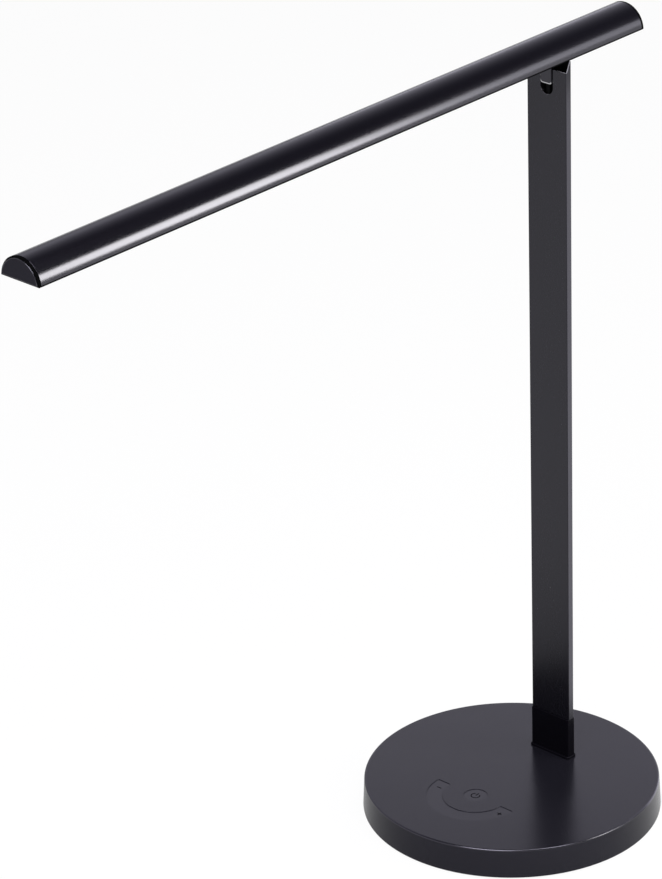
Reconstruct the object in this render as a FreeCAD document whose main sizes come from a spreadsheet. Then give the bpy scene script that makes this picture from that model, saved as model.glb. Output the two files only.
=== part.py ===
"""LED desk lamp: a round weighted base with touch controls, a flat upright and a tilting light bar.

The frame is +Z up with the origin at the middle of the resting face. The user sits at -Y.
The light bar is level at rest and tilts about the X axis, its front end swinging down.
"""
import FreeCAD
import Part
import Sketcher
import math
import os

# Driving dimensions in millimetres. Counts and shares say so in their names.
SIZES = {
    # Base shell, a shallow moulded disc with a slight draft
    "base_radius": 80.0,
    "base_draft": 0.4,
    "shell_height": 16.5,
    "shell_wall": 2.2,
    "shell_top_wall": 2.5,
    "shell_rim_bevel": 0.8,
    # Touch controls on the base top: a round power key inside a half ring slider
    "control_setback": 29.6,
    "power_key_radius": 6.5,
    "slider_inner_radius": 17.9,
    "slider_outer_radius": 26.6,
    "slider_corner_round": 1.2,
    "touch_depth": 0.6,
    # Bottom cover, its screws and the anti-slip pad under them
    "cover_thickness": 3.0,
    "cover_gap": 0.3,
    "pad_thickness": 1.0,
    "pad_margin": 1.0,
    "boss_gap": 1.1,
    "boss_radius": 3.4,
    "boss_count": 3,
    "screw_shank_radius": 1.1,
    "screw_head_radius": 2.5,
    "screw_head_height": 1.0,
    "screw_length": 8.0,
    "screw_play": 0.05,
    "screw_head_play": 0.3,
    # Steel ballast under the base top
    "ballast_gap": 0.5,
    "ballast_thickness": 6.0,
    # Control board glued under the touch area
    "board_margin": 1.4,
    "board_depth": 46.0,
    "board_thickness": 1.2,
    "board_corner_round": 4.0,
    "electrode_thickness": 0.2,
    "electrode_inset": 0.6,
    "electrode_length": 8.6,
    "electrode_count": 6,
    "chip_length": 9.9,
    "chip_width": 3.9,
    "chip_height": 1.5,
    "chip_offset": 12.0,
    "coil_radius": 3.5,
    "coil_height": 3.0,
    "coil_offset": 16.0,
    "socket_width": 7.0,
    "socket_depth": 5.0,
    "socket_height": 3.2,
    # Power inlet in the back of the base
    "inlet_width": 9.0,
    "inlet_height": 10.0,
    "inlet_length": 11.0,
    "inlet_wall_gap": 0.3,
    "inlet_nose_radius": 3.8,
    "inlet_nose_gap": 0.3,
    "inlet_nose_recess": 0.3,
    "inlet_bore_radius": 3.0,
    "inlet_bore_depth": 9.0,
    "inlet_pin_radius": 1.05,
    "inlet_pin_length": 8.0,
    "inlet_pin_chamfer": 0.3,
    # Flat twin leads in the stand, single conductors in the bar
    "lead_width": 2.4,
    "lead_thickness": 1.2,
    "lead_play": 0.2,
    "lead_run": 6.0,
    "lead_aside_gap": 1.9,
    "inlet_lead_bend": 6.0,
    "upright_lead_bend": 3.0,
    "head_lead_radius": 0.5,
    "head_lead_spread": 2.9,
    "head_lead_length": 14.5,
    # Upright: a flat rounded tube on a moulded foot
    "upright_setback": 34.6,
    "tube_width": 25.2,
    "tube_depth": 5.0,
    "tube_round": 1.0,
    "tube_wall": 0.8,
    "tube_inner_round": 0.25,
    "tube_length": 375.8,
    "foot_height": 24.0,
    "foot_step": 0.4,
    "foot_top_bevel": 0.3,
    "flange_step": 0.7,
    "flange_height": 1.4,
    "flange_bevel": 0.5,
    "tenon_width": 21.0,
    "tenon_depth": 5.0,
    "tenon_gap": 0.2,
    "spigot_length": 25.0,
    "spigot_gap": 0.1,
    "foot_screw_spread": 7.0,
    "foot_screw_shank_radius": 1.25,
    "foot_screw_head_radius": 2.6,
    "foot_screw_head_height": 2.0,
    "foot_screw_head_sink": 0.4,
    "foot_screw_length": 20.0,
    # Open mouth of the upright, where the hinge sits
    "mouth_front_lip": 1.2,
    "mouth_back_lip": 0.5,
    "back_wall_rise": 5.0,
    "slot_width": 8.2,
    "slot_drop": 14.2,
    # Friction hinge
    "pin_drop": 7.3,
    "pin_radius": 0.8,
    "pin_length": 19.0,
    "pin_play": 0.04,
    "pin_press_gap": 0.02,
    "yoke_gap": 0.1,
    "yoke_above_pin": 3.8,
    "yoke_below_pin": 24.0,
    "yoke_throat_margin": 1.0,
    "knuckle_gap": 0.25,
    "arm_width": 7.2,
    "arm_flange_width": 14.0,
    "arm_flange_length": 18.0,
    "arm_flange_thickness": 1.6,
    "washer_radius": 1.35,
    "washer_thickness": 0.4,
    "arm_screw_spread": 5.5,
    "arm_screw_shank_radius": 0.95,
    "arm_screw_head_radius": 1.9,
    "arm_screw_head_height": 1.1,
    "arm_screw_length": 4.0,
    # Light bar: a half round extrusion with two chambers
    "head_gap": 0.6,
    "head_width": 25.3,
    "head_height": 11.85,
    "head_wall": 1.3,
    "head_corner_round": 0.8,
    "head_front_reach": 368.7,
    "head_rear_reach": 60.4,
    "lip_thickness": 1.0,
    "window_width": 19.2,
    "groove_width": 22.4,
    "groove_height": 1.4,
    "chamber_width": 19.8,
    "web_height": 5.6,
    "web_thickness": 1.2,
    # End caps
    "cap_thickness": 2.0,
    "cap_rim_bevel": 0.6,
    "cap_plug_length": 6.0,
    "cap_plug_gap": 0.15,
    # Diffuser, hinge cover and light source
    "window_gap": 0.15,
    "window_recess": 0.2,
    "flange_thickness": 1.2,
    "groove_gap": 0.2,
    "diffuser_rear": 16.0,
    "seam_gap": 0.2,
    "cover_hole_gap": 0.4,
    "led_board_width": 12.0,
    "led_board_thickness": 1.2,
    "led_board_rear": 12.0,
    "led_board_front_gap": 0.5,
    "led_chip_width": 2.8,
    "led_chip_length": 3.5,
    "led_chip_height": 0.7,
    "led_pitch": 8.2,
    "led_end_margin": 8.0,
    # How far a cut runs past the surface that it leaves
    "overrun": 2.0,
}

QUARTER_TURN = 90
FULL_TURN = 360
TOLERANCE = 1e-3
AXIS_TURNS = {
    "X": FreeCAD.Rotation(FreeCAD.Vector(0, 1, 0), QUARTER_TURN),
    "Y": FreeCAD.Rotation(FreeCAD.Vector(1, 0, 0), -QUARTER_TURN),
    "Z": FreeCAD.Rotation(),
}


class Size:
    """A length that carries both its number and the sheet formula that drives it."""

    def __init__(self, number, formula):
        self.number = number
        self.formula = formula

    def combine(self, other, sign, number):
        """Join two terms with a sign; other is a Size, or a plain factor or zero."""
        text = other.formula if isinstance(other, Size) else repr(other)
        return Size(number, f"({self.formula} {sign} {text})")

    def __add__(self, other):
        return self.combine(other, "+", self.number + value_of(other))

    def __sub__(self, other):
        return self.combine(other, "-", self.number - value_of(other))

    def __mul__(self, other):
        return self.combine(other, "*", self.number * value_of(other))

    def __truediv__(self, other):
        return self.combine(other, "/", self.number / value_of(other))

    def __neg__(self):
        return Size(-self.number, f"(0 - {self.formula})")


def value_of(term):
    """Return the number of a Size, or a plain number as it is."""
    return term.number if isinstance(term, Size) else term


class SizeTable:
    """Write the driving dimensions into a sheet and hand them out by name."""

    def __init__(self, document, numbers):
        self.sheet = document.addObject("Spreadsheet::Sheet", "sizes")
        for row, (name, number) in enumerate(numbers.items(), start=1):
            self.sheet.set(f"A{row}", name)
            self.sheet.set(f"B{row}", str(number))
            self.sheet.setAlias(f"B{row}", name)
            setattr(self, name, Size(number, f"sizes.{name}"))


doc = FreeCAD.newDocument("desk_lamp")
size = SizeTable(doc, SIZES)
doc.recompute()
ZERO = Size(0, "0")
subparts = []

# Levels, from the table up
shell_foot = size.pad_thickness
shell_top = shell_foot + size.shell_height
ceiling = shell_top - size.shell_top_wall
cover_top = shell_foot + size.cover_thickness
ballast_top = cover_top + size.ballast_thickness
foot_top = shell_top + size.foot_height
front_wall_top = foot_top + size.tube_length
back_wall_top = front_wall_top + size.back_wall_rise
head_underside = back_wall_top + size.head_gap
pin_level = front_wall_top - size.pin_drop
inlet_level = cover_top + size.inlet_height / 2
lead_foot = ballast_top + size.lead_play

# Sizes that follow from the driving ones
tube_inner_width = size.tube_width - size.tube_wall * 2
tube_inner_depth = size.tube_depth - size.tube_wall * 2
foot_width = size.tube_width + size.foot_step * 2
foot_depth = size.tube_depth + size.foot_step * 2
foot_round = size.tube_round + size.foot_step
skirt_inner_radius = size.base_radius - size.shell_wall
arm_thickness = tube_inner_depth - size.knuckle_gap * 2
lead_hole_width = size.lead_width + size.lead_play * 2
lead_hole_depth = size.lead_thickness + size.lead_play * 2
lead_aside = size.tenon_width / 2 + size.lead_aside_gap + size.lead_thickness / 2
inlet_face = skirt_inner_radius - size.inlet_wall_gap - size.inlet_length
ballast_radius = inlet_face - size.ballast_gap
boss_ring_radius = ballast_radius + size.boss_gap + size.boss_radius
pad_radius = boss_ring_radius + size.screw_head_radius + size.pad_margin
head_half_width = size.head_width / 2
head_arc_radius = (size.head_height + head_half_width * head_half_width / size.head_height) / 2
head_arc_level = size.head_height - head_arc_radius
web_top = size.web_height + size.web_thickness
board_top = ceiling - size.electrode_thickness
board_underside = board_top - size.board_thickness
board_reach = size.slider_outer_radius + size.board_margin
board_front_edge = -(size.control_setback + board_reach)
board_middle = board_front_edge + size.board_depth / 2
board_back_edge = board_front_edge + size.board_depth
flange_underside = size.web_height - size.arm_flange_thickness


def bind(item, prop, length):
    """Drive one property of an object by the sheet."""
    item.setExpression(prop, length.formula)


def place(item, x=ZERO, y=ZERO, z=ZERO, axis="Z"):
    """Turn an object's own Z axis to the named one and put its origin at a driven place."""
    item.Placement = FreeCAD.Placement(FreeCAD.Vector(), AXIS_TURNS[axis])
    for letter, length in zip("xyz", (x, y, z)):
        bind(item, f"Placement.Base.{letter}", length)


def keep(item, label):
    """Name a finished sub-part and list it for export."""
    item.Label = label
    subparts.append(item)
    return item


# Primitives and booleans

def cylinder(name, radius, height, x=ZERO, y=ZERO, z=ZERO, axis="Z"):
    """Make a cylinder that starts at a place and runs along an axis."""
    item = doc.addObject("Part::Cylinder", name)
    bind(item, "Radius", radius)
    bind(item, "Height", height)
    place(item, x, y, z, axis)
    return item


def cornered_block(name, length, width, height, x, y, z):
    """Make a box with its first corner at a place."""
    item = doc.addObject("Part::Box", name)
    bind(item, "Length", length)
    bind(item, "Width", width)
    bind(item, "Height", height)
    place(item, x, y, z)
    return item


def block(name, length, width, height, x, y, z):
    """Make a box that is centred in X and Y and stands on a level."""
    return cornered_block(name, length, width, height, x - length / 2, y - width / 2, z)


def cut(name, base, tool):
    """Take one object out of another."""
    item = doc.addObject("Part::Cut", name)
    item.Base = base
    item.Tool = tool
    return item


def fuse(name, *pieces):
    """Join objects into one solid."""
    item = doc.addObject("Part::MultiFuse", name)
    item.Shapes = list(pieces)
    return item


def group(name, pieces):
    """Hold like pieces together as separate solids."""
    item = doc.addObject("Part::Compound", name)
    item.Links = list(pieces)
    return item


def screw(name, head_radius, head_height, shank_radius, length, x, y, seat):
    """Make a screw whose head hangs below its seat and whose shank points up."""
    head = cylinder(f"{name}_head", head_radius, head_height, x, y, seat - head_height)
    shank = cylinder(f"{name}_shank", shank_radius, length, x, y, seat)
    return fuse(name, head, shank)


# Sketches and features

class Outline:
    """A sketch on one of a body's own planes, with every point held by the sheet."""

    def __init__(self, body, name, plane, offset=ZERO):
        self.sketch = body.newObject("Sketcher::SketchObject", name)
        support = [item for item in body.Origin.OriginFeatures if item.Role == plane][0]
        self.sketch.AttachmentSupport = (support, [""])
        self.sketch.MapMode = "FlatFace"
        bind(self.sketch, "AttachmentOffset.Base.z", offset)

    def drive(self, kind, length, *where):
        """Add one dimension and tie it to the sheet."""
        index = self.sketch.addConstraint(Sketcher.Constraint(kind, *where, length.number))
        self.sketch.setExpression(f"Constraints[{index}]", length.formula)

    def hold_x(self, geometry, point, length):
        """Hold a point at a distance from the sketch's upright axis."""
        if length is ZERO:
            self.sketch.addConstraint(Sketcher.Constraint("PointOnObject", geometry, point, -2))
        else:
            self.drive("DistanceX", length, -1, 1, geometry, point)

    def hold_y(self, geometry, point, length):
        """Hold a point at a distance from the sketch's level axis."""
        if length is ZERO:
            self.sketch.addConstraint(Sketcher.Constraint("PointOnObject", geometry, point, -1))
        else:
            self.drive("DistanceY", length, -1, 1, geometry, point)

    def circle(self, radius, x=ZERO, y=ZERO):
        """Draw a circle."""
        middle = FreeCAD.Vector(x.number, y.number, 0)
        normal = FreeCAD.Vector(0, 0, 1)
        index = self.sketch.addGeometry(Part.Circle(middle, normal, radius.number))
        self.drive("Radius", radius, index)
        self.hold_x(index, 3, x)
        self.hold_y(index, 3, y)
        return self

    def loop(self, *corners):
        """Draw a closed loop through corners made by straight and bend."""
        first = self.sketch.GeometryCount
        count = len(corners)
        ends = []
        for number, corner in enumerate(corners):
            ahead = corners[(number + 1) % count]
            self.sketch.addGeometry(corner.curve(ahead))
            ends.append((1, 2) if corner.anticlockwise else (2, 1))
        for number, corner in enumerate(corners):
            here = first + number
            behind = (number - 1) % count
            joint = (first + behind, ends[behind][1], here, ends[number][0])
            self.sketch.addConstraint(Sketcher.Constraint("Coincident", *joint))
            if corner.middle:
                self.hold_x(here, 3, corner.middle[0])
                self.hold_y(here, 3, corner.middle[1])
            free = corners[behind].free_direction(corner)
            if free != "x":
                self.hold_x(here, ends[number][0], corner.x)
            if free != "y":
                self.hold_y(here, ends[number][0], corner.y)
        return self

    def rounded(self, width, depth, radius, y=ZERO):
        """Draw a rectangle with round corners, centred in X."""
        right = width / 2
        back = depth / 2
        inner_x = right - radius
        inner_y = back - radius
        return self.loop(
            straight(-inner_x, y - back),
            bend(inner_x, y - back, inner_x, y - inner_y),
            straight(right, y - inner_y),
            bend(right, y + inner_y, inner_x, y + inner_y),
            straight(inner_x, y + back),
            bend(-inner_x, y + back, -inner_x, y + inner_y),
            straight(-right, y + inner_y),
            bend(-right, y - inner_y, -inner_x, y - inner_y),
        )

    def centred(self, width, depth):
        """Draw a plain rectangle about the origin."""
        return self.rectangle(-(width / 2), width / 2, -(depth / 2), depth / 2)

    def rectangle(self, left, right, low, high):
        """Draw a plain rectangle."""
        return self.loop(
            straight(left, low),
            straight(right, low),
            straight(right, high),
            straight(left, high),
        )


class Corner:
    """One corner of a loop, with the stretch that leads on from it."""

    def __init__(self, x, y, middle=None, anticlockwise=True):
        self.x = x
        self.y = y
        self.middle = middle
        self.anticlockwise = anticlockwise

    def point(self):
        """Return the corner as a vector."""
        return FreeCAD.Vector(self.x.number, self.y.number, 0)

    def curve(self, ahead):
        """Return the stretch from this corner to the next as a curve."""
        if self.middle is None:
            return Part.LineSegment(self.point(), ahead.point())
        middle = FreeCAD.Vector(self.middle[0].number, self.middle[1].number, 0)
        start, end = (self, ahead) if self.anticlockwise else (ahead, self)
        spoke_in = start.point() - middle
        spoke_out = end.point() - middle
        circle = Part.Circle(middle, FreeCAD.Vector(0, 0, 1), spoke_in.Length)
        turn_in = math.atan2(spoke_in.y, spoke_in.x)
        turn_out = math.atan2(spoke_out.y, spoke_out.x)
        if turn_out <= turn_in:
            turn_out += math.tau
        return Part.ArcOfCircle(circle, turn_in, turn_out)

    def free_direction(self, ahead):
        """An arc settles one direction of the corner it reaches: return it, or nothing for a line."""
        if self.middle is None:
            return ""
        across = abs(ahead.x.number - self.middle[0].number)
        along = abs(ahead.y.number - self.middle[1].number)
        return "x" if across > along else "y"


def straight(x, y):
    """A corner that a straight stretch leaves."""
    return Corner(x, y)


def bend(x, y, middle_x, middle_y, anticlockwise=True):
    """A corner that an arc leaves, about a middle point."""
    return Corner(x, y, (middle_x, middle_y), anticlockwise)


def new_body(name, x=ZERO, y=ZERO, z=ZERO):
    """Start a body at a driven place."""
    body = doc.addObject("PartDesign::Body", name)
    place(body, x, y, z)
    return body


def pad(body, outline, length, back=False, both=False):
    """Raise an outline along its plane's normal, backwards or to both sides."""
    item = body.newObject("PartDesign::Pad", f"{outline.sketch.Name}_pad")
    item.Profile = outline.sketch
    item.SideType = "Symmetric" if both else "One side"
    item.Reversed = back
    bind(item, "Length", length)
    outline.sketch.Visibility = False
    return item


def pocket(body, outline, depth, back=False, both=False):
    """Cut an outline against its plane's normal, or along it, or to both sides."""
    doc.recompute()
    before = body.Shape.Volume
    item = body.newObject("PartDesign::Pocket", f"{outline.sketch.Name}_pocket")
    item.Profile = outline.sketch
    item.SideType = "Symmetric" if both else "One side"
    item.Reversed = back
    bind(item, "Length", depth)
    doc.recompute()
    if not body.Shape.Volume < before:
        raise RuntimeError(f"{item.Name} cuts nothing")
    return item


def polar(body, feature, count):
    """Repeat a feature evenly about the body's Z axis."""
    item = body.newObject("PartDesign::PolarPattern", f"{feature.Name}_ring")
    item.Originals = [feature]
    item.Axis = ([axis for axis in body.Origin.OriginFeatures if axis.Role == "Z_Axis"][0], [""])
    item.Angle = FULL_TURN
    bind(item, "Occurrences", count)
    body.Tip = item
    return item


def soften(body, kind, radius, chosen):
    """Fillet or chamfer the edges of a body that a test picks."""
    doc.recompute()
    base = body.Tip
    names = [f"Edge{n}" for n, edge in enumerate(base.Shape.Edges, start=1) if chosen(edge)]
    if not names:
        raise RuntimeError(f"no edge of {body.Name} to soften")
    item = body.newObject(f"PartDesign::{kind}", f"{body.Name}_{kind.lower()}")
    item.Base = (base, names)
    bind(item, "Radius" if kind == "Fillet" else "Size", radius)
    doc.recompute()
    return item


def near(first, second):
    """True if two numbers agree within the modelling tolerance."""
    return math.isclose(first, second, abs_tol=TOLERANCE)


def lies_at(edge, axis, level):
    """True if a whole edge lies in the plane where one coordinate has the given value."""
    span = edge.BoundBox
    return near(getattr(span, f"{axis}Min"), level) and near(getattr(span, f"{axis}Max"), level)


def reaches_past(edge, half_width, half_depth):
    """True if an edge reaches outside a rectangle about the Z axis."""
    span = edge.BoundBox
    across = max(span.XMax, -span.XMin)
    along = max(span.YMax, -span.YMin)
    return across > half_width.number + TOLERANCE or along > half_depth.number + TOLERANCE


def runs_along(edge, axis):
    """True if an edge is straight and runs along one axis."""
    if not isinstance(edge.Curve, Part.Line):
        return False
    return near(abs(getattr(edge.Curve.Direction, axis)), 1)


# Base

def make_base_shell():
    """Moulded disc, hollow below, with touch recesses, a slot for the upright and screw bosses."""
    body = new_body("shell", z=shell_foot)
    inner_top = size.shell_height - size.shell_top_wall
    foot_radius = size.base_radius + size.base_draft
    section = Outline(body, "shell_section", "XZ_Plane").loop(
        straight(ZERO, inner_top),
        straight(skirt_inner_radius, inner_top),
        straight(skirt_inner_radius, ZERO),
        straight(foot_radius, ZERO),
        straight(size.base_radius, size.shell_height),
        straight(ZERO, size.shell_height),
    )
    disc = body.newObject("PartDesign::Revolution", "shell_disc")
    disc.Profile = section.sketch
    disc.ReferenceAxis = (section.sketch, ["V_Axis"])
    disc.Angle = FULL_TURN
    soften(body, "Chamfer", size.shell_rim_bevel,
           lambda edge: lies_at(edge, "Z", size.shell_height.number) and edge.Closed)

    control_y = -size.control_setback
    key = Outline(body, "power_key", "XY_Plane", size.shell_height)
    pocket(body, key.circle(size.power_key_radius, ZERO, control_y), size.touch_depth)
    slider = Outline(body, "slider_track", "XY_Plane", size.shell_height).loop(
        bend(-size.slider_outer_radius, control_y, ZERO, control_y),
        straight(size.slider_outer_radius, control_y),
        bend(size.slider_inner_radius, control_y, ZERO, control_y, anticlockwise=False),
        straight(-size.slider_inner_radius, control_y),
    )
    pocket(body, slider, size.touch_depth)
    soften(body, "Fillet", size.slider_corner_round,
           lambda edge: runs_along(edge, "z") and near(edge.Length, size.touch_depth.number)
           and near(edge.BoundBox.YMax, control_y.number))

    half_slot = size.tenon_width / 2 + size.tenon_gap
    slot_reach = size.tenon_depth / 2 + size.tenon_gap
    slot = Outline(body, "upright_slot", "XY_Plane", size.shell_height).rectangle(
        -half_slot, half_slot, size.upright_setback - slot_reach, size.upright_setback + slot_reach)
    pocket(body, slot, size.shell_top_wall + size.overrun)
    inlet = Outline(body, "inlet_hole", "XZ_Plane")
    inlet.circle(size.inlet_nose_radius + size.inlet_nose_gap, ZERO, inlet_level - shell_foot)
    pocket(body, inlet, foot_radius + size.overrun)

    boss = Outline(body, "boss", "XY_Plane", inner_top)
    boss.circle(size.boss_radius, ZERO, -boss_ring_radius)
    boss.circle(size.screw_shank_radius + size.screw_play, ZERO, -boss_ring_radius)
    polar(body, pad(body, boss, inner_top - size.cover_thickness, back=True), size.boss_count)
    return keep(body, "base_shell")


def make_base_cover():
    """Bottom cover inside the skirt, counterbored for three screws that the pad hides."""
    body = new_body("cover", z=shell_foot)
    disc = Outline(body, "cover_disc", "XY_Plane").circle(skirt_inner_radius - size.cover_gap)
    pad(body, disc, size.cover_thickness)
    seat = Outline(body, "screw_seat", "XY_Plane")
    seat.circle(size.screw_head_radius + size.screw_head_play, ZERO, -boss_ring_radius)
    polar(body, pocket(body, seat, size.screw_head_height, back=True), size.boss_count)
    hole = Outline(body, "screw_hole", "XY_Plane")
    hole.circle(size.screw_shank_radius + size.screw_play, ZERO, -boss_ring_radius)
    polar(body, pocket(body, hole, size.cover_thickness, back=True), size.boss_count)
    return keep(body, "base_cover")


def make_base_pad():
    """Anti-slip disc glued under the cover and its screws; the lamp stands on it."""
    return keep(cylinder("pad", pad_radius, size.pad_thickness), "base_pad")


def make_base_screws():
    """Screws that hold the cover to the shell's bosses."""
    seat = shell_foot + size.screw_head_height
    count = SIZES["boss_count"]
    screws = []
    for number in range(count):
        turn = math.tau * number / count
        x = boss_ring_radius * math.sin(turn)
        y = -boss_ring_radius * math.cos(turn)
        screws.append(screw(f"cover_screw_{number}", size.screw_head_radius, size.screw_head_height,
                            size.screw_shank_radius, size.screw_length, x, y, seat))
    return keep(group("cover_screws", screws), "base_screws")


def make_base_ballast():
    """Steel plate that rests on the cover and carries the upright's two screws."""
    body = new_body("ballast", z=cover_top)
    disc = Outline(body, "ballast_disc", "XY_Plane").circle(ballast_radius)
    pad(body, disc, size.ballast_thickness)
    seats = Outline(body, "foot_screw_seats", "XY_Plane")
    holes = Outline(body, "foot_screw_holes", "XY_Plane")
    for x in (-size.foot_screw_spread, size.foot_screw_spread):
        seats.circle(size.foot_screw_head_radius + size.screw_head_play, x, size.upright_setback)
        holes.circle(size.foot_screw_shank_radius + size.screw_play, x, size.upright_setback)
    pocket(body, seats, size.foot_screw_head_height + size.foot_screw_head_sink, back=True)
    pocket(body, holes, size.ballast_thickness, back=True)
    return keep(body, "base_ballast")


# Touch controls and power inlet

def make_touch_board():
    """Circuit board glued under the touch area."""
    body = new_body("board", z=board_underside)
    outline = Outline(body, "board_outline", "XY_Plane")
    outline.rounded(board_reach * 2, size.board_depth, size.board_corner_round, board_middle)
    pad(body, outline, size.board_thickness)
    return keep(body, "touch_board")


def make_touch_electrodes():
    """Copper areas between board and base top: a disc for the key, a row of pads for the slider."""
    control_y = -size.control_setback
    height = size.electrode_thickness
    key_radius = size.power_key_radius - size.electrode_inset
    pieces = [cylinder("key_electrode", key_radius, height, ZERO, control_y, board_top)]
    inner = size.slider_inner_radius + size.electrode_inset
    depth = size.slider_outer_radius - size.electrode_inset - inner
    half_length = size.electrode_length / 2
    count = SIZES["electrode_count"]
    for number in range(count):
        spoke = math.pi * (number + 0.5) / count
        x = inner * -math.cos(spoke) + half_length * math.sin(spoke)
        y = control_y - inner * math.sin(spoke) - half_length * math.cos(spoke)
        name = f"slider_electrode_{number}"
        piece = cornered_block(name, size.electrode_length, depth, height, x, y, board_top)
        turn = math.degrees(spoke) + QUARTER_TURN
        piece.Placement.Rotation = FreeCAD.Rotation(FreeCAD.Vector(0, 0, 1), turn)
        pieces.append(piece)
    return keep(group("electrodes", pieces), "touch_electrodes")


def make_board_components():
    """Controller chip, driver coil and the two lead sockets under the board."""
    chip = block("chip", size.chip_length, size.chip_width, size.chip_height,
                 -size.chip_offset, board_middle, board_underside - size.chip_height)
    keep(chip, "control_chip")
    coil = cylinder("coil", size.coil_radius, size.coil_height,
                    size.coil_offset, board_middle, board_underside - size.coil_height)
    keep(coil, "driver_coil")
    sockets = []
    socket_y = board_back_edge - size.socket_depth / 2
    socket_z = board_underside - size.socket_height
    for number, x in enumerate((ZERO, lead_aside)):
        sockets.append(block(f"lead_socket_{number}", size.socket_width, size.socket_depth,
                             size.socket_height, x, socket_y, socket_z))
    return keep(group("sockets", sockets), "lead_sockets")


def make_inlet():
    """Power socket in the back of the skirt, with its centre pin."""
    nose_end = size.base_radius - size.inlet_nose_recess
    bore_end = nose_end - size.inlet_bore_depth
    body = block("inlet_body", size.inlet_width, size.inlet_length, size.inlet_height,
                 ZERO, inlet_face + size.inlet_length / 2, cover_top)
    nose = cylinder("inlet_nose", size.inlet_nose_radius, nose_end - inlet_face,
                    ZERO, inlet_face, inlet_level, "Y")
    bore = cylinder("inlet_bore", size.inlet_bore_radius, size.inlet_bore_depth + size.overrun,
                    ZERO, bore_end, inlet_level, "Y")
    keep(cut("inlet", fuse("inlet_solid", body, nose), bore), "inlet_socket")
    rod = cylinder("inlet_rod", size.inlet_pin_radius, size.inlet_pin_length,
                   ZERO, bore_end, inlet_level, "Y")
    doc.recompute()
    pin = doc.addObject("Part::Chamfer", "inlet_pin_tip")
    pin.Base = rod
    ring = [n for n, edge in enumerate(rod.Shape.Edges, start=1)
            if lies_at(edge, "Y", (bore_end + size.inlet_pin_length).number)]
    chamfer = SIZES["inlet_pin_chamfer"]
    pin.Edges = [(n, chamfer, chamfer) for n in ring]
    return keep(pin, "inlet_pin")


# Upright

def make_upright_foot():
    """Moulded foot with a flange on the base top, a tenon into the base and a spigot into the tube."""
    body = new_body("foot", y=size.upright_setback, z=shell_top)
    tenon_length = shell_top - ballast_top
    column = Outline(body, "foot_column", "XY_Plane").rounded(foot_width, foot_depth, foot_round)
    pad(body, column, size.foot_height)
    soften(body, "Chamfer", size.foot_top_bevel, lambda edge: lies_at(edge, "Z", size.foot_height.number))
    flange = Outline(body, "foot_flange", "XY_Plane").rounded(
        foot_width + size.flange_step * 2, foot_depth + size.flange_step * 2, foot_round + size.flange_step)
    pad(body, flange, size.flange_height)
    soften(body, "Chamfer", size.flange_bevel,
           lambda edge: lies_at(edge, "Z", size.flange_height.number)
           and reaches_past(edge, foot_width / 2, foot_depth / 2))
    tenon = Outline(body, "foot_tenon", "XY_Plane").centred(size.tenon_width, size.tenon_depth)
    pad(body, tenon, tenon_length, back=True)
    spigot = Outline(body, "foot_spigot", "XY_Plane", size.foot_height).centred(
        tube_inner_width - size.spigot_gap * 2, tube_inner_depth - size.spigot_gap * 2)
    pad(body, spigot, size.spigot_length)
    channel = Outline(body, "lead_channel", "XY_Plane", -tenon_length)
    channel.centred(lead_hole_width, lead_hole_depth)
    pocket(body, channel, tenon_length + size.foot_height + size.spigot_length, back=True)
    notch_top = size.upright_lead_bend * 2 - tenon_length
    notch = Outline(body, "lead_notch", "XZ_Plane").rectangle(
        -(lead_hole_width / 2), lead_hole_width / 2, -tenon_length, notch_top)
    pocket(body, notch, foot_depth, back=True)
    holes = Outline(body, "foot_pilots", "XY_Plane", -tenon_length)
    for x in (-size.foot_screw_spread, size.foot_screw_spread):
        holes.circle(size.foot_screw_shank_radius + size.screw_play, x, ZERO)
    pocket(body, holes, size.foot_screw_length, back=True)
    return keep(body, "upright_foot")


def make_foot_screws():
    """Two screws up through the ballast into the foot."""
    seat = cover_top + size.foot_screw_head_height + size.foot_screw_head_sink
    head = (size.foot_screw_head_radius, size.foot_screw_head_height)
    shank = (size.foot_screw_shank_radius, size.foot_screw_length)
    screws = []
    for number, x in enumerate((-size.foot_screw_spread, size.foot_screw_spread)):
        screws.append(screw(f"foot_screw_{number}", *head, *shank, x, size.upright_setback, seat))
    return keep(group("upright_screws", screws), "foot_screws")


def make_upright_tube():
    """Flat tube whose mouth is cut on a slant and slotted in front for the hinge arm."""
    body = new_body("tube", y=size.upright_setback, z=foot_top)
    section = Outline(body, "tube_section", "XY_Plane")
    section.rounded(size.tube_width, size.tube_depth, size.tube_round)
    section.rounded(tube_inner_width, tube_inner_depth, size.tube_inner_round)
    full_length = size.tube_length + size.back_wall_rise
    pad(body, section, full_length)
    half_depth = size.tube_depth / 2
    clear_front = -(half_depth + size.overrun)
    clear_top = full_length + size.overrun
    mouth = Outline(body, "mouth_cut", "YZ_Plane").loop(
        straight(clear_front, size.tube_length),
        straight(size.mouth_front_lip - half_depth, size.tube_length),
        straight(half_depth - size.mouth_back_lip, full_length),
        straight(half_depth - size.mouth_back_lip, clear_top),
        straight(clear_front, clear_top),
    )
    pocket(body, mouth, size.tube_width + size.overrun * 2, both=True)
    half_slot = size.slot_width / 2
    slot_turn = size.tube_length - size.slot_drop + half_slot
    slot = Outline(body, "hinge_slot", "XZ_Plane").loop(
        bend(-half_slot, slot_turn, ZERO, slot_turn),
        straight(half_slot, slot_turn),
        straight(half_slot, clear_top),
        straight(-half_slot, clear_top),
    )
    pocket(body, slot, half_depth + size.overrun, back=True)
    return keep(body, "upright_tube")


# Friction hinge

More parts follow.
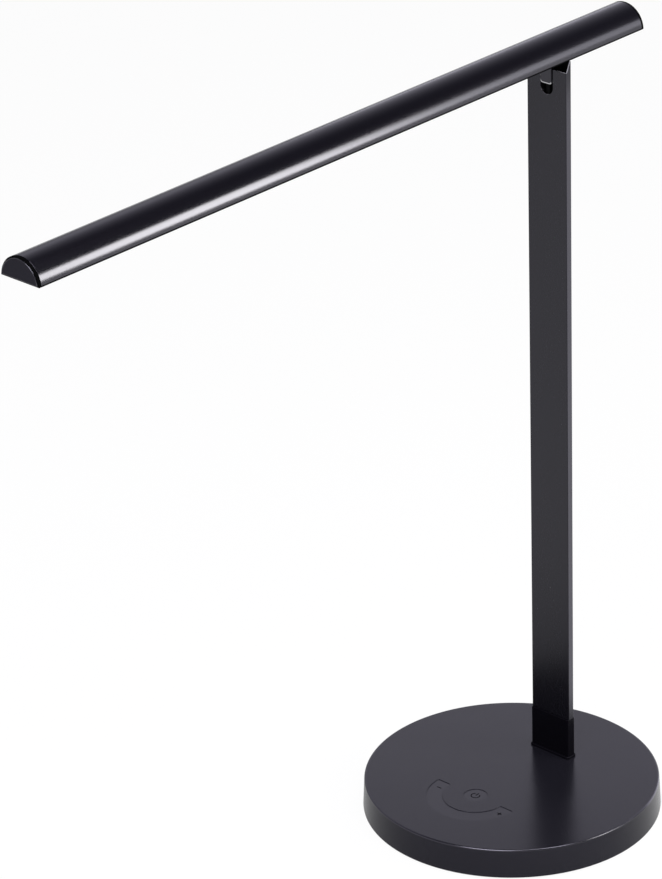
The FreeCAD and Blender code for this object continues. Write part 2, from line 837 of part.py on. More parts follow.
def make_hinge_yoke():
    """Forked insert pressed into the tube's mouth; its two cheeks carry the pin."""
    body = new_body("yoke", y=size.upright_setback, z=pin_level)
    half_width = tube_inner_width / 2 - size.yoke_gap
    half_slot = size.slot_width / 2
    throat = size.pin_drop - size.slot_drop + half_slot - size.yoke_throat_margin
    fork = Outline(body, "yoke_fork", "XZ_Plane").loop(
        straight(-half_width, -size.yoke_below_pin),
        straight(half_width, -size.yoke_below_pin),
        straight(half_width, size.yoke_above_pin),
        straight(half_slot, size.yoke_above_pin),
        bend(half_slot, throat, ZERO, throat, anticlockwise=False),
        straight(-half_slot, throat),
        straight(-half_slot, size.yoke_above_pin),
        straight(-half_width, size.yoke_above_pin),
    )
    pad(body, fork, tube_inner_depth - size.yoke_gap * 2, both=True)
    bore = Outline(body, "yoke_bore", "YZ_Plane").circle(size.pin_radius + size.pin_press_gap)
    pocket(body, bore, size.tube_width, both=True)
    channel = Outline(body, "yoke_channel", "XY_Plane", -size.yoke_below_pin)
    channel.centred(lead_hole_width, lead_hole_depth)
    pocket(body, channel, size.yoke_below_pin, back=True)
    return keep(body, "hinge_yoke")


def make_hinge_pin():
    """Steel pin that the arm turns on."""
    pin = cylinder("pin", size.pin_radius, size.pin_length, -(size.pin_length / 2),
                   size.upright_setback, pin_level, "X")
    return keep(pin, "hinge_pin")


def make_friction_washers():
    """Spring washers squeezed between the arm and the yoke's cheeks, which hold the bar at any tilt."""
    side_gap = (size.slot_width - size.arm_width) / 2
    inset = (side_gap - size.washer_thickness) / 2
    hole_radius = size.pin_radius + size.pin_press_gap
    washers = []
    for number, start in enumerate((size.arm_width / 2 + inset, -(size.slot_width / 2 - inset))):
        where = (start, size.upright_setback, pin_level, "X")
        ring = cylinder(f"washer_disc_{number}", size.washer_radius, size.washer_thickness, *where)
        hole = cylinder(f"washer_hole_{number}", hole_radius, size.washer_thickness, *where)
        washers.append(cut(f"washer_{number}", ring, hole))
    return keep(group("washers", washers), "friction_washers")


def make_hinge_arm():
    """Arm of the light bar: a knuckle on the pin, a tongue through the slot and a flange in the bar."""
    body = new_body("arm", y=size.upright_setback, z=pin_level)
    half = arm_thickness / 2
    flange_level = head_underside - pin_level + flange_underside
    tongue = Outline(body, "arm_tongue", "YZ_Plane").loop(
        bend(-half, ZERO, ZERO, ZERO),
        straight(half, ZERO),
        straight(half, flange_level),
        straight(-half, flange_level),
    )
    pad(body, tongue, size.arm_width, both=True)
    flange = Outline(body, "arm_flange", "XY_Plane", flange_level)
    flange.centred(size.arm_flange_width, size.arm_flange_length)
    pad(body, flange, size.arm_flange_thickness)
    bore = Outline(body, "arm_bore", "YZ_Plane").circle(size.pin_radius + size.pin_play)
    pocket(body, bore, size.arm_width + size.overrun, both=True)
    holes = Outline(body, "arm_screw_holes", "XY_Plane", flange_level)
    for y in (-size.arm_screw_spread, size.arm_screw_spread):
        holes.circle(size.arm_screw_shank_radius + size.screw_play, ZERO, y)
    pocket(body, holes, size.arm_flange_thickness, back=True)
    return keep(body, "hinge_arm")


def make_arm_screws():
    """Two screws that hold the arm's flange to the bar's web."""
    seat = head_underside + flange_underside
    screws = []
    for number, offset in enumerate((-size.arm_screw_spread, size.arm_screw_spread)):
        screws.append(screw(f"arm_screw_{number}", size.arm_screw_head_radius, size.arm_screw_head_height,
                            size.arm_screw_shank_radius, size.arm_screw_length,
                            ZERO, size.upright_setback + offset, seat))
    return keep(group("bar_screws", screws), "arm_screws")


# Light bar

def head_body(name):
    """Start a body whose origin is on the bar's underside, straight above the pin."""
    return new_body(name, y=size.upright_setback, z=head_underside)


def make_head_housing():
    """Half round extrusion: lipped grooves below, a web across, a closed chamber above."""
    body = head_body("housing")
    rear_end = size.head_rear_reach - size.cap_thickness
    half_window = size.window_width / 2
    half_groove = size.groove_width / 2
    half_chamber = size.chamber_width / 2
    groove_top = size.lip_thickness + size.groove_height
    section = Outline(body, "housing_section", "XZ_Plane", -rear_end).loop(
        straight(half_window, ZERO),
        bend(head_half_width, ZERO, ZERO, head_arc_level),
        straight(-head_half_width, ZERO),
        straight(-half_window, ZERO),
        straight(-half_window, size.lip_thickness),
        straight(-half_groove, size.lip_thickness),
        straight(-half_groove, groove_top),
        straight(-half_chamber, groove_top),
        straight(-half_chamber, size.web_height),
        straight(half_chamber, size.web_height),
        straight(half_chamber, groove_top),
        straight(half_groove, groove_top),
        straight(half_groove, size.lip_thickness),
        straight(half_window, size.lip_thickness),
    )
    upper_chamber(section, size.head_wall, ZERO)
    length = size.head_front_reach - size.cap_thickness + rear_end
    pad(body, section, length)
    soften(body, "Fillet", size.head_corner_round,
           lambda edge: runs_along(edge, "y") and near(edge.BoundBox.ZMax, 0)
           and near(max(edge.BoundBox.XMax, -edge.BoundBox.XMin), head_half_width.number))
    pilots = Outline(body, "web_pilots", "XY_Plane", size.web_height)
    for y in (-size.arm_screw_spread, size.arm_screw_spread):
        pilots.circle(size.arm_screw_shank_radius + size.screw_play, ZERO, y)
    pocket(body, pilots, size.web_thickness, back=True)
    return keep(body, "head_housing")


def upper_chamber(outline, wall, floor_gap):
    """Draw the closed chamber above the web, inside a wall and above a gap."""
    radius = head_arc_radius - wall
    floor = web_top + floor_gap
    rise = floor.number - head_arc_level.number
    reach = Size(math.sqrt(radius.number ** 2 - rise ** 2),
                 f"sqrt(({radius.formula})^2 - ({floor.formula} - {head_arc_level.formula})^2)")
    return outline.loop(straight(-reach, floor), bend(reach, floor, ZERO, head_arc_level))


def make_cap(label, seam, outward_back):
    """End cap: a half round plate with a bevelled rim and a plug into the upper chamber."""
    body = head_body(f"{label}_body")
    plate = Outline(body, f"{label}_plate", "XZ_Plane", seam).loop(
        straight(-head_half_width, ZERO),
        bend(head_half_width, ZERO, ZERO, head_arc_level),
    )
    pad(body, plate, size.cap_thickness, back=outward_back)
    soften(body, "Fillet", size.head_corner_round, lambda edge: runs_along(edge, "y"))
    side = 1 if outward_back else -1
    outer_face = side * abs(seam.number) + side * size.cap_thickness.number
    soften(body, "Chamfer", size.cap_rim_bevel, lambda edge: lies_at(edge, "Y", outer_face))
    plug = Outline(body, f"{label}_plug", "XZ_Plane", seam)
    upper_chamber(plug, size.head_wall + size.cap_plug_gap, size.cap_plug_gap)
    pad(body, plug, size.cap_plug_length, back=not outward_back)
    return keep(body, label)


def window_strip(body, name, rear, length):
    """Pad a strip that slides in the grooves and fills the window between the lips."""
    half_window = size.window_width / 2 - size.window_gap
    half_flange = size.groove_width / 2 - size.groove_gap
    flange_top = size.lip_thickness + size.flange_thickness
    strip = Outline(body, name, "XZ_Plane", rear).loop(
        straight(-half_window, size.window_recess),
        straight(half_window, size.window_recess),
        straight(half_window, size.lip_thickness),
        straight(half_flange, size.lip_thickness),
        straight(half_flange, flange_top),
        straight(-half_flange, flange_top),
        straight(-half_flange, size.lip_thickness),
        straight(-half_window, size.lip_thickness),
    )
    return pad(body, strip, length)


def make_diffuser():
    """Opal strip from the front cap to just ahead of the hinge."""
    body = head_body("opal")
    front = size.head_front_reach - size.cap_thickness - size.seam_gap
    window_strip(body, "diffuser_section", size.diffuser_rear, front - size.diffuser_rear)
    return keep(body, "diffuser")


def make_hinge_cover():
    """Blank strip behind the diffuser, with a hole for the arm."""
    body = head_body("blank")
    rear = size.head_rear_reach - size.cap_thickness - size.seam_gap
    front = size.diffuser_rear - size.seam_gap
    window_strip(body, "cover_section", -rear, rear + front)
    hole = Outline(body, "arm_hole", "XY_Plane").centred(
        size.arm_width + size.cover_hole_gap * 2, arm_thickness + size.cover_hole_gap * 2)
    pocket(body, hole, size.web_height, back=True)
    return keep(body, "hinge_cover")


def make_light_source():
    """Strip board under the web with one row of light chips."""
    underside = head_underside + size.web_height - size.led_board_thickness
    rear = size.upright_setback - size.led_board_rear
    front = (size.upright_setback - size.head_front_reach + size.cap_thickness
             + size.cap_plug_length + size.led_board_front_gap)
    length = rear - front
    board = block("strip_board", size.led_board_width, length, size.led_board_thickness,
                  ZERO, (rear + front) / 2, underside)
    keep(board, "led_board")
    spaces = math.floor((length - size.led_end_margin * 2).number / size.led_pitch.number)
    first = rear - (length - size.led_pitch * spaces) / 2
    chips = []
    for number in range(spaces + 1):
        y = first - size.led_pitch * number
        chips.append(block(f"light_chip_{number}", size.led_chip_width, size.led_chip_length,
                           size.led_chip_height, ZERO, y, underside - size.led_chip_height))
    return keep(group("light_chips", chips), "led_chips")


# Leads

def make_head_leads():
    """Two conductors from the arm to the strip board."""
    level = head_underside + flange_underside - size.head_lead_radius - size.screw_play
    start = size.upright_setback - arm_thickness / 2 - size.head_lead_length
    leads = []
    for number, x in enumerate((-size.head_lead_spread, size.head_lead_spread)):
        leads.append(cylinder(f"head_lead_{number}", size.head_lead_radius, size.head_lead_length,
                              x, start, level, "Y"))
    return keep(group("conductors", leads), "head_leads")


def flat_lead(label, points, bends, across):
    """Sweep a flat twin lead along straight runs and tangent arcs; its width lies along one way."""
    edges = []
    here = points[0]
    for before, corner, after, bend_radius in zip(points, points[1:], points[2:], bends):
        way_in = (corner - before).normalize()
        way_out = (after - corner).normalize()
        turn = way_in.getAngle(way_out)
        setback = bend_radius.number * math.tan(turn / 2)
        start = corner - way_in * setback
        end = corner + way_out * setback
        inward = (way_out - way_in).normalize()
        middle = corner + inward * (bend_radius.number / math.cos(turn / 2) - bend_radius.number)
        edges.append(Part.LineSegment(here, start).toShape())
        edges.append(Part.Arc(start, middle, end).toShape())
        here = end
    edges.append(Part.LineSegment(here, points[-1]).toShape())
    path = Part.Wire(edges)
    aside = across * (size.lead_width.number / 2)
    outward = (points[1] - points[0]).cross(across).normalize() * (size.lead_thickness.number / 2)
    near_edge = points[0] - outward
    far_edge = points[0] + outward
    ring = Part.makePolygon([near_edge - aside, near_edge + aside, far_edge + aside,
                             far_edge - aside, near_edge - aside])
    item = doc.addObject("Part::Feature", f"{label}_band")
    item.Shape = path.makePipeShell([ring], True, True)
    item.Placement = FreeCAD.Placement()
    swept = (size.lead_width * size.lead_thickness).number * path.Length
    if not math.isclose(item.Shape.Volume, swept, rel_tol=TOLERANCE):
        raise RuntimeError(f"{label} has volume {item.Shape.Volume}, not {swept}")
    return keep(item, label)


def spot(x, y, z):
    """A point from three driven lengths."""
    return FreeCAD.Vector(x.number, y.number, z.number)


def make_inlet_lead():
    """Lead from the power socket round the foot to the board, on edge on the ballast."""
    level = lead_foot + size.lead_width / 2
    passing = size.upright_setback + size.tenon_depth / 2 + size.lead_run
    points = [
        spot(ZERO, inlet_face, level),
        spot(ZERO, inlet_face - size.lead_run, level),
        spot(lead_aside, passing, level),
        spot(lead_aside, board_back_edge, level),
    ]
    bends = [size.inlet_lead_bend, size.inlet_lead_bend]
    return flat_lead("inlet_lead", points, bends, FreeCAD.Vector(0, 0, 1))


def make_upright_lead():
    """Lead from the board into the foot and up the tube to the hinge."""
    level = lead_foot + size.lead_thickness / 2
    knuckle_foot = pin_level - arm_thickness / 2 - size.lead_play
    points = [
        spot(ZERO, board_back_edge, level),
        spot(ZERO, size.upright_setback, level),
        spot(ZERO, size.upright_setback, knuckle_foot),
    ]
    return flat_lead("upright_lead", points, [size.upright_lead_bend], FreeCAD.Vector(1, 0, 0))


# Assembly

def make_lamp():
    """Make every sub-part."""
    make_base_shell()
    make_base_cover()
    make_base_pad()
    make_base_screws()
    make_base_ballast()
    make_touch_board()
    make_touch_electrodes()
    make_board_components()
    make_inlet()
    make_upright_foot()
    make_foot_screws()
    make_upright_tube()
    make_hinge_yoke()
    make_hinge_pin()
    make_friction_washers()
    make_hinge_arm()
    make_arm_screws()
    make_head_housing()
    make_cap("front_cap", size.head_front_reach - size.cap_thickness, outward_back=False)
    make_cap("rear_cap", -(size.head_rear_reach - size.cap_thickness), outward_back=True)
    make_diffuser()
    make_hinge_cover()
    make_light_source()
    make_head_leads()
    make_inlet_lead()
    make_upright_lead()


def check_lamp():
    """Stop if any object failed or any sub-part has no sound shape."""
    doc.recompute()
    for item in doc.Objects:
        if "Invalid" in item.State or "Error" in item.State:
            raise RuntimeError(f"{item.Label} failed: {item.State}")
    for item in subparts:
        if item.Shape.isNull() or not item.Shape.isValid():
            raise RuntimeError(f"{item.Label} has no sound shape")


def write_lamp():
    """Write one file for each sub-part."""
    os.makedirs("parts", exist_ok=True)
    for item in subparts:
        item.Shape.exportStep(os.path.join("parts", f"{item.Label}.step"))
        print(f"{item.Label}: {len(item.Shape.Solids)} solids, {item.Shape.Volume:.0f} mm3")


make_lamp()
check_lamp()
write_lamp()
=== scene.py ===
import bmesh
import bpy
import math
from bpy.props import FloatProperty, FloatVectorProperty, IntProperty, PointerProperty
from mathutils import Matrix, Vector


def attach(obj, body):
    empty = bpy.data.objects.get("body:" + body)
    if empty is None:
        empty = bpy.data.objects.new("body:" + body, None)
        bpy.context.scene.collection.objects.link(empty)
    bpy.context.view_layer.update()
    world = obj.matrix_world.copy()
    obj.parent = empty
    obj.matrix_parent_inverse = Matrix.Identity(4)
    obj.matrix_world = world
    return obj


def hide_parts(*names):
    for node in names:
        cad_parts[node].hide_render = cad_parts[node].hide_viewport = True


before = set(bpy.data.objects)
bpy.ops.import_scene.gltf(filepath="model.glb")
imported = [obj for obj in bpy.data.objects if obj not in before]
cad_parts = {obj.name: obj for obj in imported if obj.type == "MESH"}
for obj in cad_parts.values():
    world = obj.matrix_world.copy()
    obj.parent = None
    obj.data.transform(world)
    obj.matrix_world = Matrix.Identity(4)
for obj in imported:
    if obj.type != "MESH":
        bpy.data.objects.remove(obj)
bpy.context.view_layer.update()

bl_info = {
    "name": "LED desk lamp",
    "version": (1, 0, 0),
    "blender": (4, 5, 0),
    "location": "View3D > Sidebar > Desk lamp",
    "description": "Builds the visible pieces of a slim desk lamp with a tilting light bar",
    "category": "Add Mesh",
}

# Distance in metres below which two points are one, and the distance to a circle that counts as on it
MERGE = 1e-7
NEAR = 1e-6
# Smallest corner of the bar's section, and how straight ahead a front face looks
LEAST_CORNER = 0.00005
STRAIGHT = 0.999


# Sizes and colours that a user would change

def length(name, description, default):
    """A length in metres."""
    return FloatProperty(name=name, description=description, default=default, unit="LENGTH", precision=5)


def tone(name, description, default):
    """A linear colour."""
    return FloatVectorProperty(name=name, description=description, default=default,
                               subtype="COLOR", size=3, min=0.0, max=1.0)


def share(name, description, default):
    """A number between nought and one."""
    return FloatProperty(name=name, description=description, default=default, subtype="FACTOR",
                         min=0.0, max=1.0)


def angle(name, description, degrees):
    """An angle, given in degrees."""
    return FloatProperty(name=name, description=description, default=math.radians(degrees), subtype="ANGLE")


def spot(name, description, default, subtype="TRANSLATION"):
    """A place in space, or a direction."""
    return FloatVectorProperty(name=name, description=description, default=default, subtype=subtype, size=3)


def number(name, description, default, unit="NONE"):
    """A plain number."""
    return FloatProperty(name=name, description=description, default=default, unit=unit)


class BaseSizes(bpy.types.PropertyGroup):
    """Sizes of the round base and its touch controls."""
    top_radius: length("Top radius", "Radius of the base top", 0.0800)
    foot_radius: length("Foot radius", "Radius at the lower edge, with the draft", 0.0809)
    foot_level: length("Foot level", "Height of the lower edge above the table", 0.0010)
    top_level: length("Top level", "Height of the base top", 0.0175)
    wall: length("Wall", "Thickness of skirt and top", 0.0023)
    rim_round: length("Rim round", "Radius of the rim", 0.0009)
    lower_round: length("Lower round", "Radius of the lower edge", 0.0005)
    control_setback: length("Control setback", "Distance of the power key in front of the middle", 0.0296)
    key_radius: length("Key radius", "Radius of the power key", 0.0065)
    slider_inner: length("Slider inner radius", "Inner radius of the half ring slider", 0.0179)
    slider_outer: length("Slider outer radius", "Outer radius of the half ring slider", 0.0266)
    slider_corner: length("Slider corner", "Corner radius of the slider", 0.0012)
    touch_depth: length("Touch depth", "Depth of key and slider below the top", 0.00028)
    touch_edge: length("Touch edge", "Round of the edges of key and slider", 0.00012)
    mark_line: length("Mark line", "Line width of the touch marks", 0.00052)
    mark_height: length("Mark height", "How far the marks stand above their floor", 0.00003)
    mark_size: length("Mark size", "Length of the minus and the plus", 0.00312)
    mark_drop: length("Mark drop", "Distance of minus and plus in front of the power key", 0.00623)
    minus_place: length("Minus place", "Distance of the minus left of the middle", 0.0206925)
    plus_place: length("Plus place", "Distance of the plus right of the middle", 0.0224725)
    power_ring: length("Power ring", "Radius of the power mark", 0.00234)
    power_gap: angle("Power gap", "Half of the gap in the power mark's ring", 38.0)
    stroke_place: length("Stroke place", "Distance of the power mark's stroke behind its middle", 0.001521)
    stroke_length: length("Stroke length", "Length of the power mark's stroke", 0.002574)
    inlet_hole: length("Inlet hole", "Radius of the hole for the power socket", 0.0041)
    inlet_level: length("Inlet level", "Height of the power socket's middle", 0.0090)
    inlet_reach: length("Inlet reach", "Length of the cut for the power socket", 0.0138)
    pad_radius: length("Pad radius", "Radius of the anti-slip pad", 0.0740)
    pad_round: length("Pad round", "Round of the pad's edges", 0.0002)
    segments: IntProperty(name="Segments", description="Steps round the base", default=160, min=32, max=512)


class UprightSizes(bpy.types.PropertyGroup):
    """Sizes of the foot, the flat tube and its open mouth."""
    setback: length("Setback", "Distance of the upright behind the middle", 0.0348)
    foot_width: length("Foot width", "Width of the foot", 0.0260)
    foot_depth: length("Foot depth", "Depth of the foot", 0.0058)
    foot_corner: length("Foot corner", "Corner radius of the foot", 0.0008)
    foot_round: length("Foot round", "Round of the foot's upper edge", 0.0003)
    flange_step: length("Flange step", "How far the flange stands out", 0.0007)
    flange_round: length("Flange round", "Round of the flange's upper edge", 0.00063)
    flange_height: length("Flange height", "Height of the flange", 0.0014)
    foot_top: length("Foot top", "Height where the tube begins", 0.0415)
    tube_width: length("Tube width", "Width of the tube", 0.0260)
    tube_depth: length("Tube depth", "Depth of the tube", 0.0040)
    tube_corner: length("Tube corner", "Corner radius of the tube", 0.0004)
    tube_wall: length("Tube wall", "Wall of the tube", 0.0006)
    front_top: length("Front top", "Height of the front wall", 0.4167)
    back_top: length("Back top", "Height of the back wall", 0.4223)
    front_lip: length("Front lip", "Depth of the level part of the mouth in front", 0.0009)
    back_lip: length("Back lip", "Depth of the level part of the mouth behind", 0.0005)
    slot_width: length("Slot width", "Width of the slot for the arm", 0.0085)
    slot_bottom: length("Slot bottom", "Height of the slot's round end", 0.4024)
    edge_round: length("Edge round", "Round of the cut edges", 0.00015)
    lead_top: length("Lead top", "Height where the lead in the tube ends", 0.4073)


class HeadSizes(bpy.types.PropertyGroup):
    """Sizes of the arm, the half round bar, its caps and its window."""
    pin_setback: length("Pin setback", "Distance of the hinge pin behind the middle", 0.0346)
    pin_level: length("Pin level", "Height of the hinge pin", 0.4100)
    arm_width: length("Arm width", "Width of the arm", 0.0072)
    arm_front: length("Arm front", "Distance of the arm's front edges before the pin", 0.0022)
    arm_corner: length("Arm corner", "Round of the arm's lower corners", 0.0013)
    arm_edge: length("Arm edge", "Width of the slope round the arm's front", 0.0005)
    arm_rise: length("Arm rise", "Height of the slope round the arm's front", 0.00015)
    knuckle: length("Knuckle", "Radius of the arm round the pin", 0.00145)
    arm_top: length("Arm top", "Height of the arm's top inside the bar", 0.4285)
    underside: length("Underside", "Height of the bar's flat underside", 0.4225)
    width: length("Width", "Width of the bar", 0.0253)
    height: length("Height", "Height of the bar", 0.01225)
    corner: length("Corner", "Radius of the lower corners", 0.0004)
    # Band along the bar's lower edges drawn in near-black painted shade
    trim: length("Trim", "Height of the dull trim along the lower edges", 0.0009)
    front_end: length("Front end", "Place of the bar's front end", -0.3347)
    rear_end: length("Rear end", "Place of the bar's rear end", 0.0958)
    cap_thickness: length("Cap thickness", "Thickness of the end caps", 0.0020)
    # The cap's bevel is drawn in near-black painted shade
    cap_bevel: length("Cap bevel", "Width of the dull bevel round the cap", 0.0008)
    cap_rim: length("Cap rim", "Round of the cap's raised face", 0.0003)
    groove: length("Groove", "Width and depth of the groove between bar and cap", 0.0005)
    seam_round: length("Seam round", "Round of the edges at the cap's seam", 0.00022)
    window_width: length("Window width", "Width of the light window", 0.0192)
    window_depth: length("Window depth", "Depth of the window's channel", 0.0010)
    window_gap: length("Window gap", "Gap beside the strips in the window", 0.00015)
    window_recess: length("Window recess", "How far the strips lie above the underside", 0.0002)
    window_seam: length("Window seam", "Place of the seam between diffuser and hinge cover", 0.0187)
    strip_height: length("Strip height", "Thickness of the strips in the window", 0.00075)
    strip_round: length("Strip round", "Round of the strips' edges", 0.0002)
    seam_gap: length("Seam gap", "Gap at the ends of the strips", 0.0002)
    arm_gap: length("Arm gap", "Gap round the arm in the hinge cover", 0.0004)
    chip_pitch: length("Chip pitch", "Distance between the light chips", 0.0082)
    chip_first: length("First chip", "Place of the rearmost light chip", 0.0125)
    glow_inner: length("Glow inner", "Distance from a light chip where its glow begins to fade", 0.0009)
    glow_outer: length("Glow outer", "Distance from a light chip where its glow ends", 0.0040)
    segments: IntProperty(name="Segments", description="Steps over the bar's arch", default=96,
                          min=16, max=256)


class LampColours(bpy.types.PropertyGroup):
    """Colours of the finishes and the light."""
    shell: tone("Shell", "Moulded base shell", (0.0076, 0.0073, 0.0104))
    foot: tone("Foot", "Moulded foot of the upright", (0.0027, 0.0024, 0.0038))
    cap: tone("Cap", "Moulded end caps and hinge cover", (0.0095, 0.0090, 0.0128))
    tube: tone("Tube", "Coated upright", (0.0022, 0.0020, 0.0034))
    bar: tone("Bar", "Anodised light bar, arm and polished rims", (0.0020, 0.0018, 0.0034))
    mark: tone("Mark", "Touch marks", (0.0012, 0.0012, 0.0014))
    rubber: tone("Rubber", "Anti-slip pad", (0.0180, 0.0180, 0.0200))
    opal: tone("Opal", "Diffuser", (0.78, 0.78, 0.75))
    chip_glow: tone("Chip glow", "Light chips seen through the diffuser", (0.80, 0.72, 0.50))
    glow_level: share("Glow level", "How much the light chips show through the diffuser", 0.55)
    # Near-black with almost no gloss: painted shade inside the upright, along the bar's lower edges and in
    # the caps' grooves and bands
    inside: tone("Inside", "Dull black inside the upright", (0.0010, 0.0010, 0.0012))
    # Light grey cut edge: partly bare metal, partly a painted highlight along the mouth and the slot
    sawn: tone("Sawn", "Bare sawn edge of the upright's mouth", (0.22, 0.215, 0.235))
    # Light metal on the arm's lower edge: a painted highlight line
    bare: tone("Bare", "Bare lower edge of the arm", (0.50, 0.50, 0.52))
    jacket: tone("Jacket", "Jacket of the leads", (0.003, 0.003, 0.0035))
    zinc: tone("Zinc", "Screws", (0.45, 0.46, 0.48))
    rolled: tone("Rolled", "Ballast", (0.30, 0.31, 0.32))
    # Blackened steel of the yoke, darkened further as painted shade inside the upright's mouth
    blackened: tone("Blackened", "Hinge yoke", (0.006, 0.006, 0.007))
    ground: tone("Ground", "Hinge pin and washers", (0.55, 0.56, 0.58))
    copper: tone("Copper", "Contacts", (0.72, 0.55, 0.38))
    board: tone("Board", "Touch board", (0.02, 0.16, 0.07))
    strip: tone("Strip", "Board of the light chips", (0.80, 0.81, 0.80))
    epoxy: tone("Epoxy", "Chip and coil", (0.02, 0.02, 0.02))
    nylon: tone("Nylon", "Sockets of the leads", (0.80, 0.79, 0.72))
    phosphor: tone("Phosphor", "Light chips", (0.90, 0.72, 0.22))
    sheen: tone("Sheen", "Cool tint of reflections", (0.88, 0.86, 1.0))
    floor: tone("Floor", "Floor, background and plain light", (1.0, 1.0, 1.0))
    sky: tone("Sky", "Cool studio light", (0.91, 0.89, 1.0))
    pale: tone("Pale", "Slightly cool light from above", (0.955, 0.945, 1.0))
    warm: tone("Warm", "Slightly warm light along the bar", (1.0, 1.0, 0.92))


class StageSettings(bpy.types.PropertyGroup):
    """Camera, floor and sky."""
    camera_place: spot("Camera place", "Place of the camera", (1.3695, -1.5617, 1.2209))
    azimuth: angle("Azimuth", "Turn of the camera to the right of the front", 43.80)
    elevation: angle("Elevation", "How far the camera looks down", 25.70)
    roll: angle("Roll", "Turn of the picture", -1.7355)
    lens: number("Lens", "Focal length in millimetres", 180.43, "CAMERA")
    floor_radius: length("Floor radius", "Radius of the floor", 30.0)
    floor_paper: share("Floor paper", "Share of the light that the floor gives back", 0.95)
    floor_glow: share("Floor glow", "Share of the floor that stays white in the shade", 0.94)
    floor_shade: share("Floor shade", "Light that the floor beside the base lacks in mirrors", 0.35)
    shade_place: spot("Shade place", "Middle of the shade beside the base", (-0.05, -0.05, 0.0))
    shade_near: length("Shade near", "Distance up to which the shade is full", 0.06)
    shade_far: length("Shade far", "Distance where the shade ends", 0.17)
    walls: share("Walls", "Brightness of the sky near the ground", 0.74)
    ceiling: share("Ceiling", "Brightness of the darkest part of the sky", 0.03)
    sky_lean: spot("Sky lean", "Direction along which the sky gets dimmer", (0.5, 0.0, 1.0), "XYZ")
    fade_start: number("Fade start", "Where along that direction the walls end", 0.10)
    fade_end: number("Fade end", "Where the sky is darkest", 0.80)
    dip_start: number("Dip start", "Where the walls are dimmest below", -0.25)
    dip_end: number("Dip end", "Where they reach their full brightness", 0.06)
    dip_level: share("Dip level", "Share of brightness left in the walls' dim part", 0.52)


# Soft lamps: name, place, point aimed at, width and height, power and colour
LIGHTS = (
    ("key_light", (0.45, -1.25, 1.75), (0.0, 0.0, 0.2), (1.2, 1.2), 38.0, "pale"),
    ("top_light", (0.66, -0.03, 1.32), (0.0, 0.0, 0.0), (0.30, 1.00), 8.3, "pale"),
    ("bar_light", (0.80, 0.39, 0.625), (0.0, -0.22, 0.43), (0.35, 0.38), 5.7, "warm"),
    ("tail_light", (0.80, 0.82, 0.60), (0.0, 0.05, 0.43), (0.40, 0.34), 0.88, "floor"),
    ("back_light", (-0.85, 1.05, 0.70), (0.0, 0.0, 0.0), (0.6, 0.28), 0.52, "sky"),
    ("strip_light", (0.0713, 0.0958, 0.189), (0.0126, 0.0346, 0.189), (0.064, 0.37), 0.106, "sky"),
)

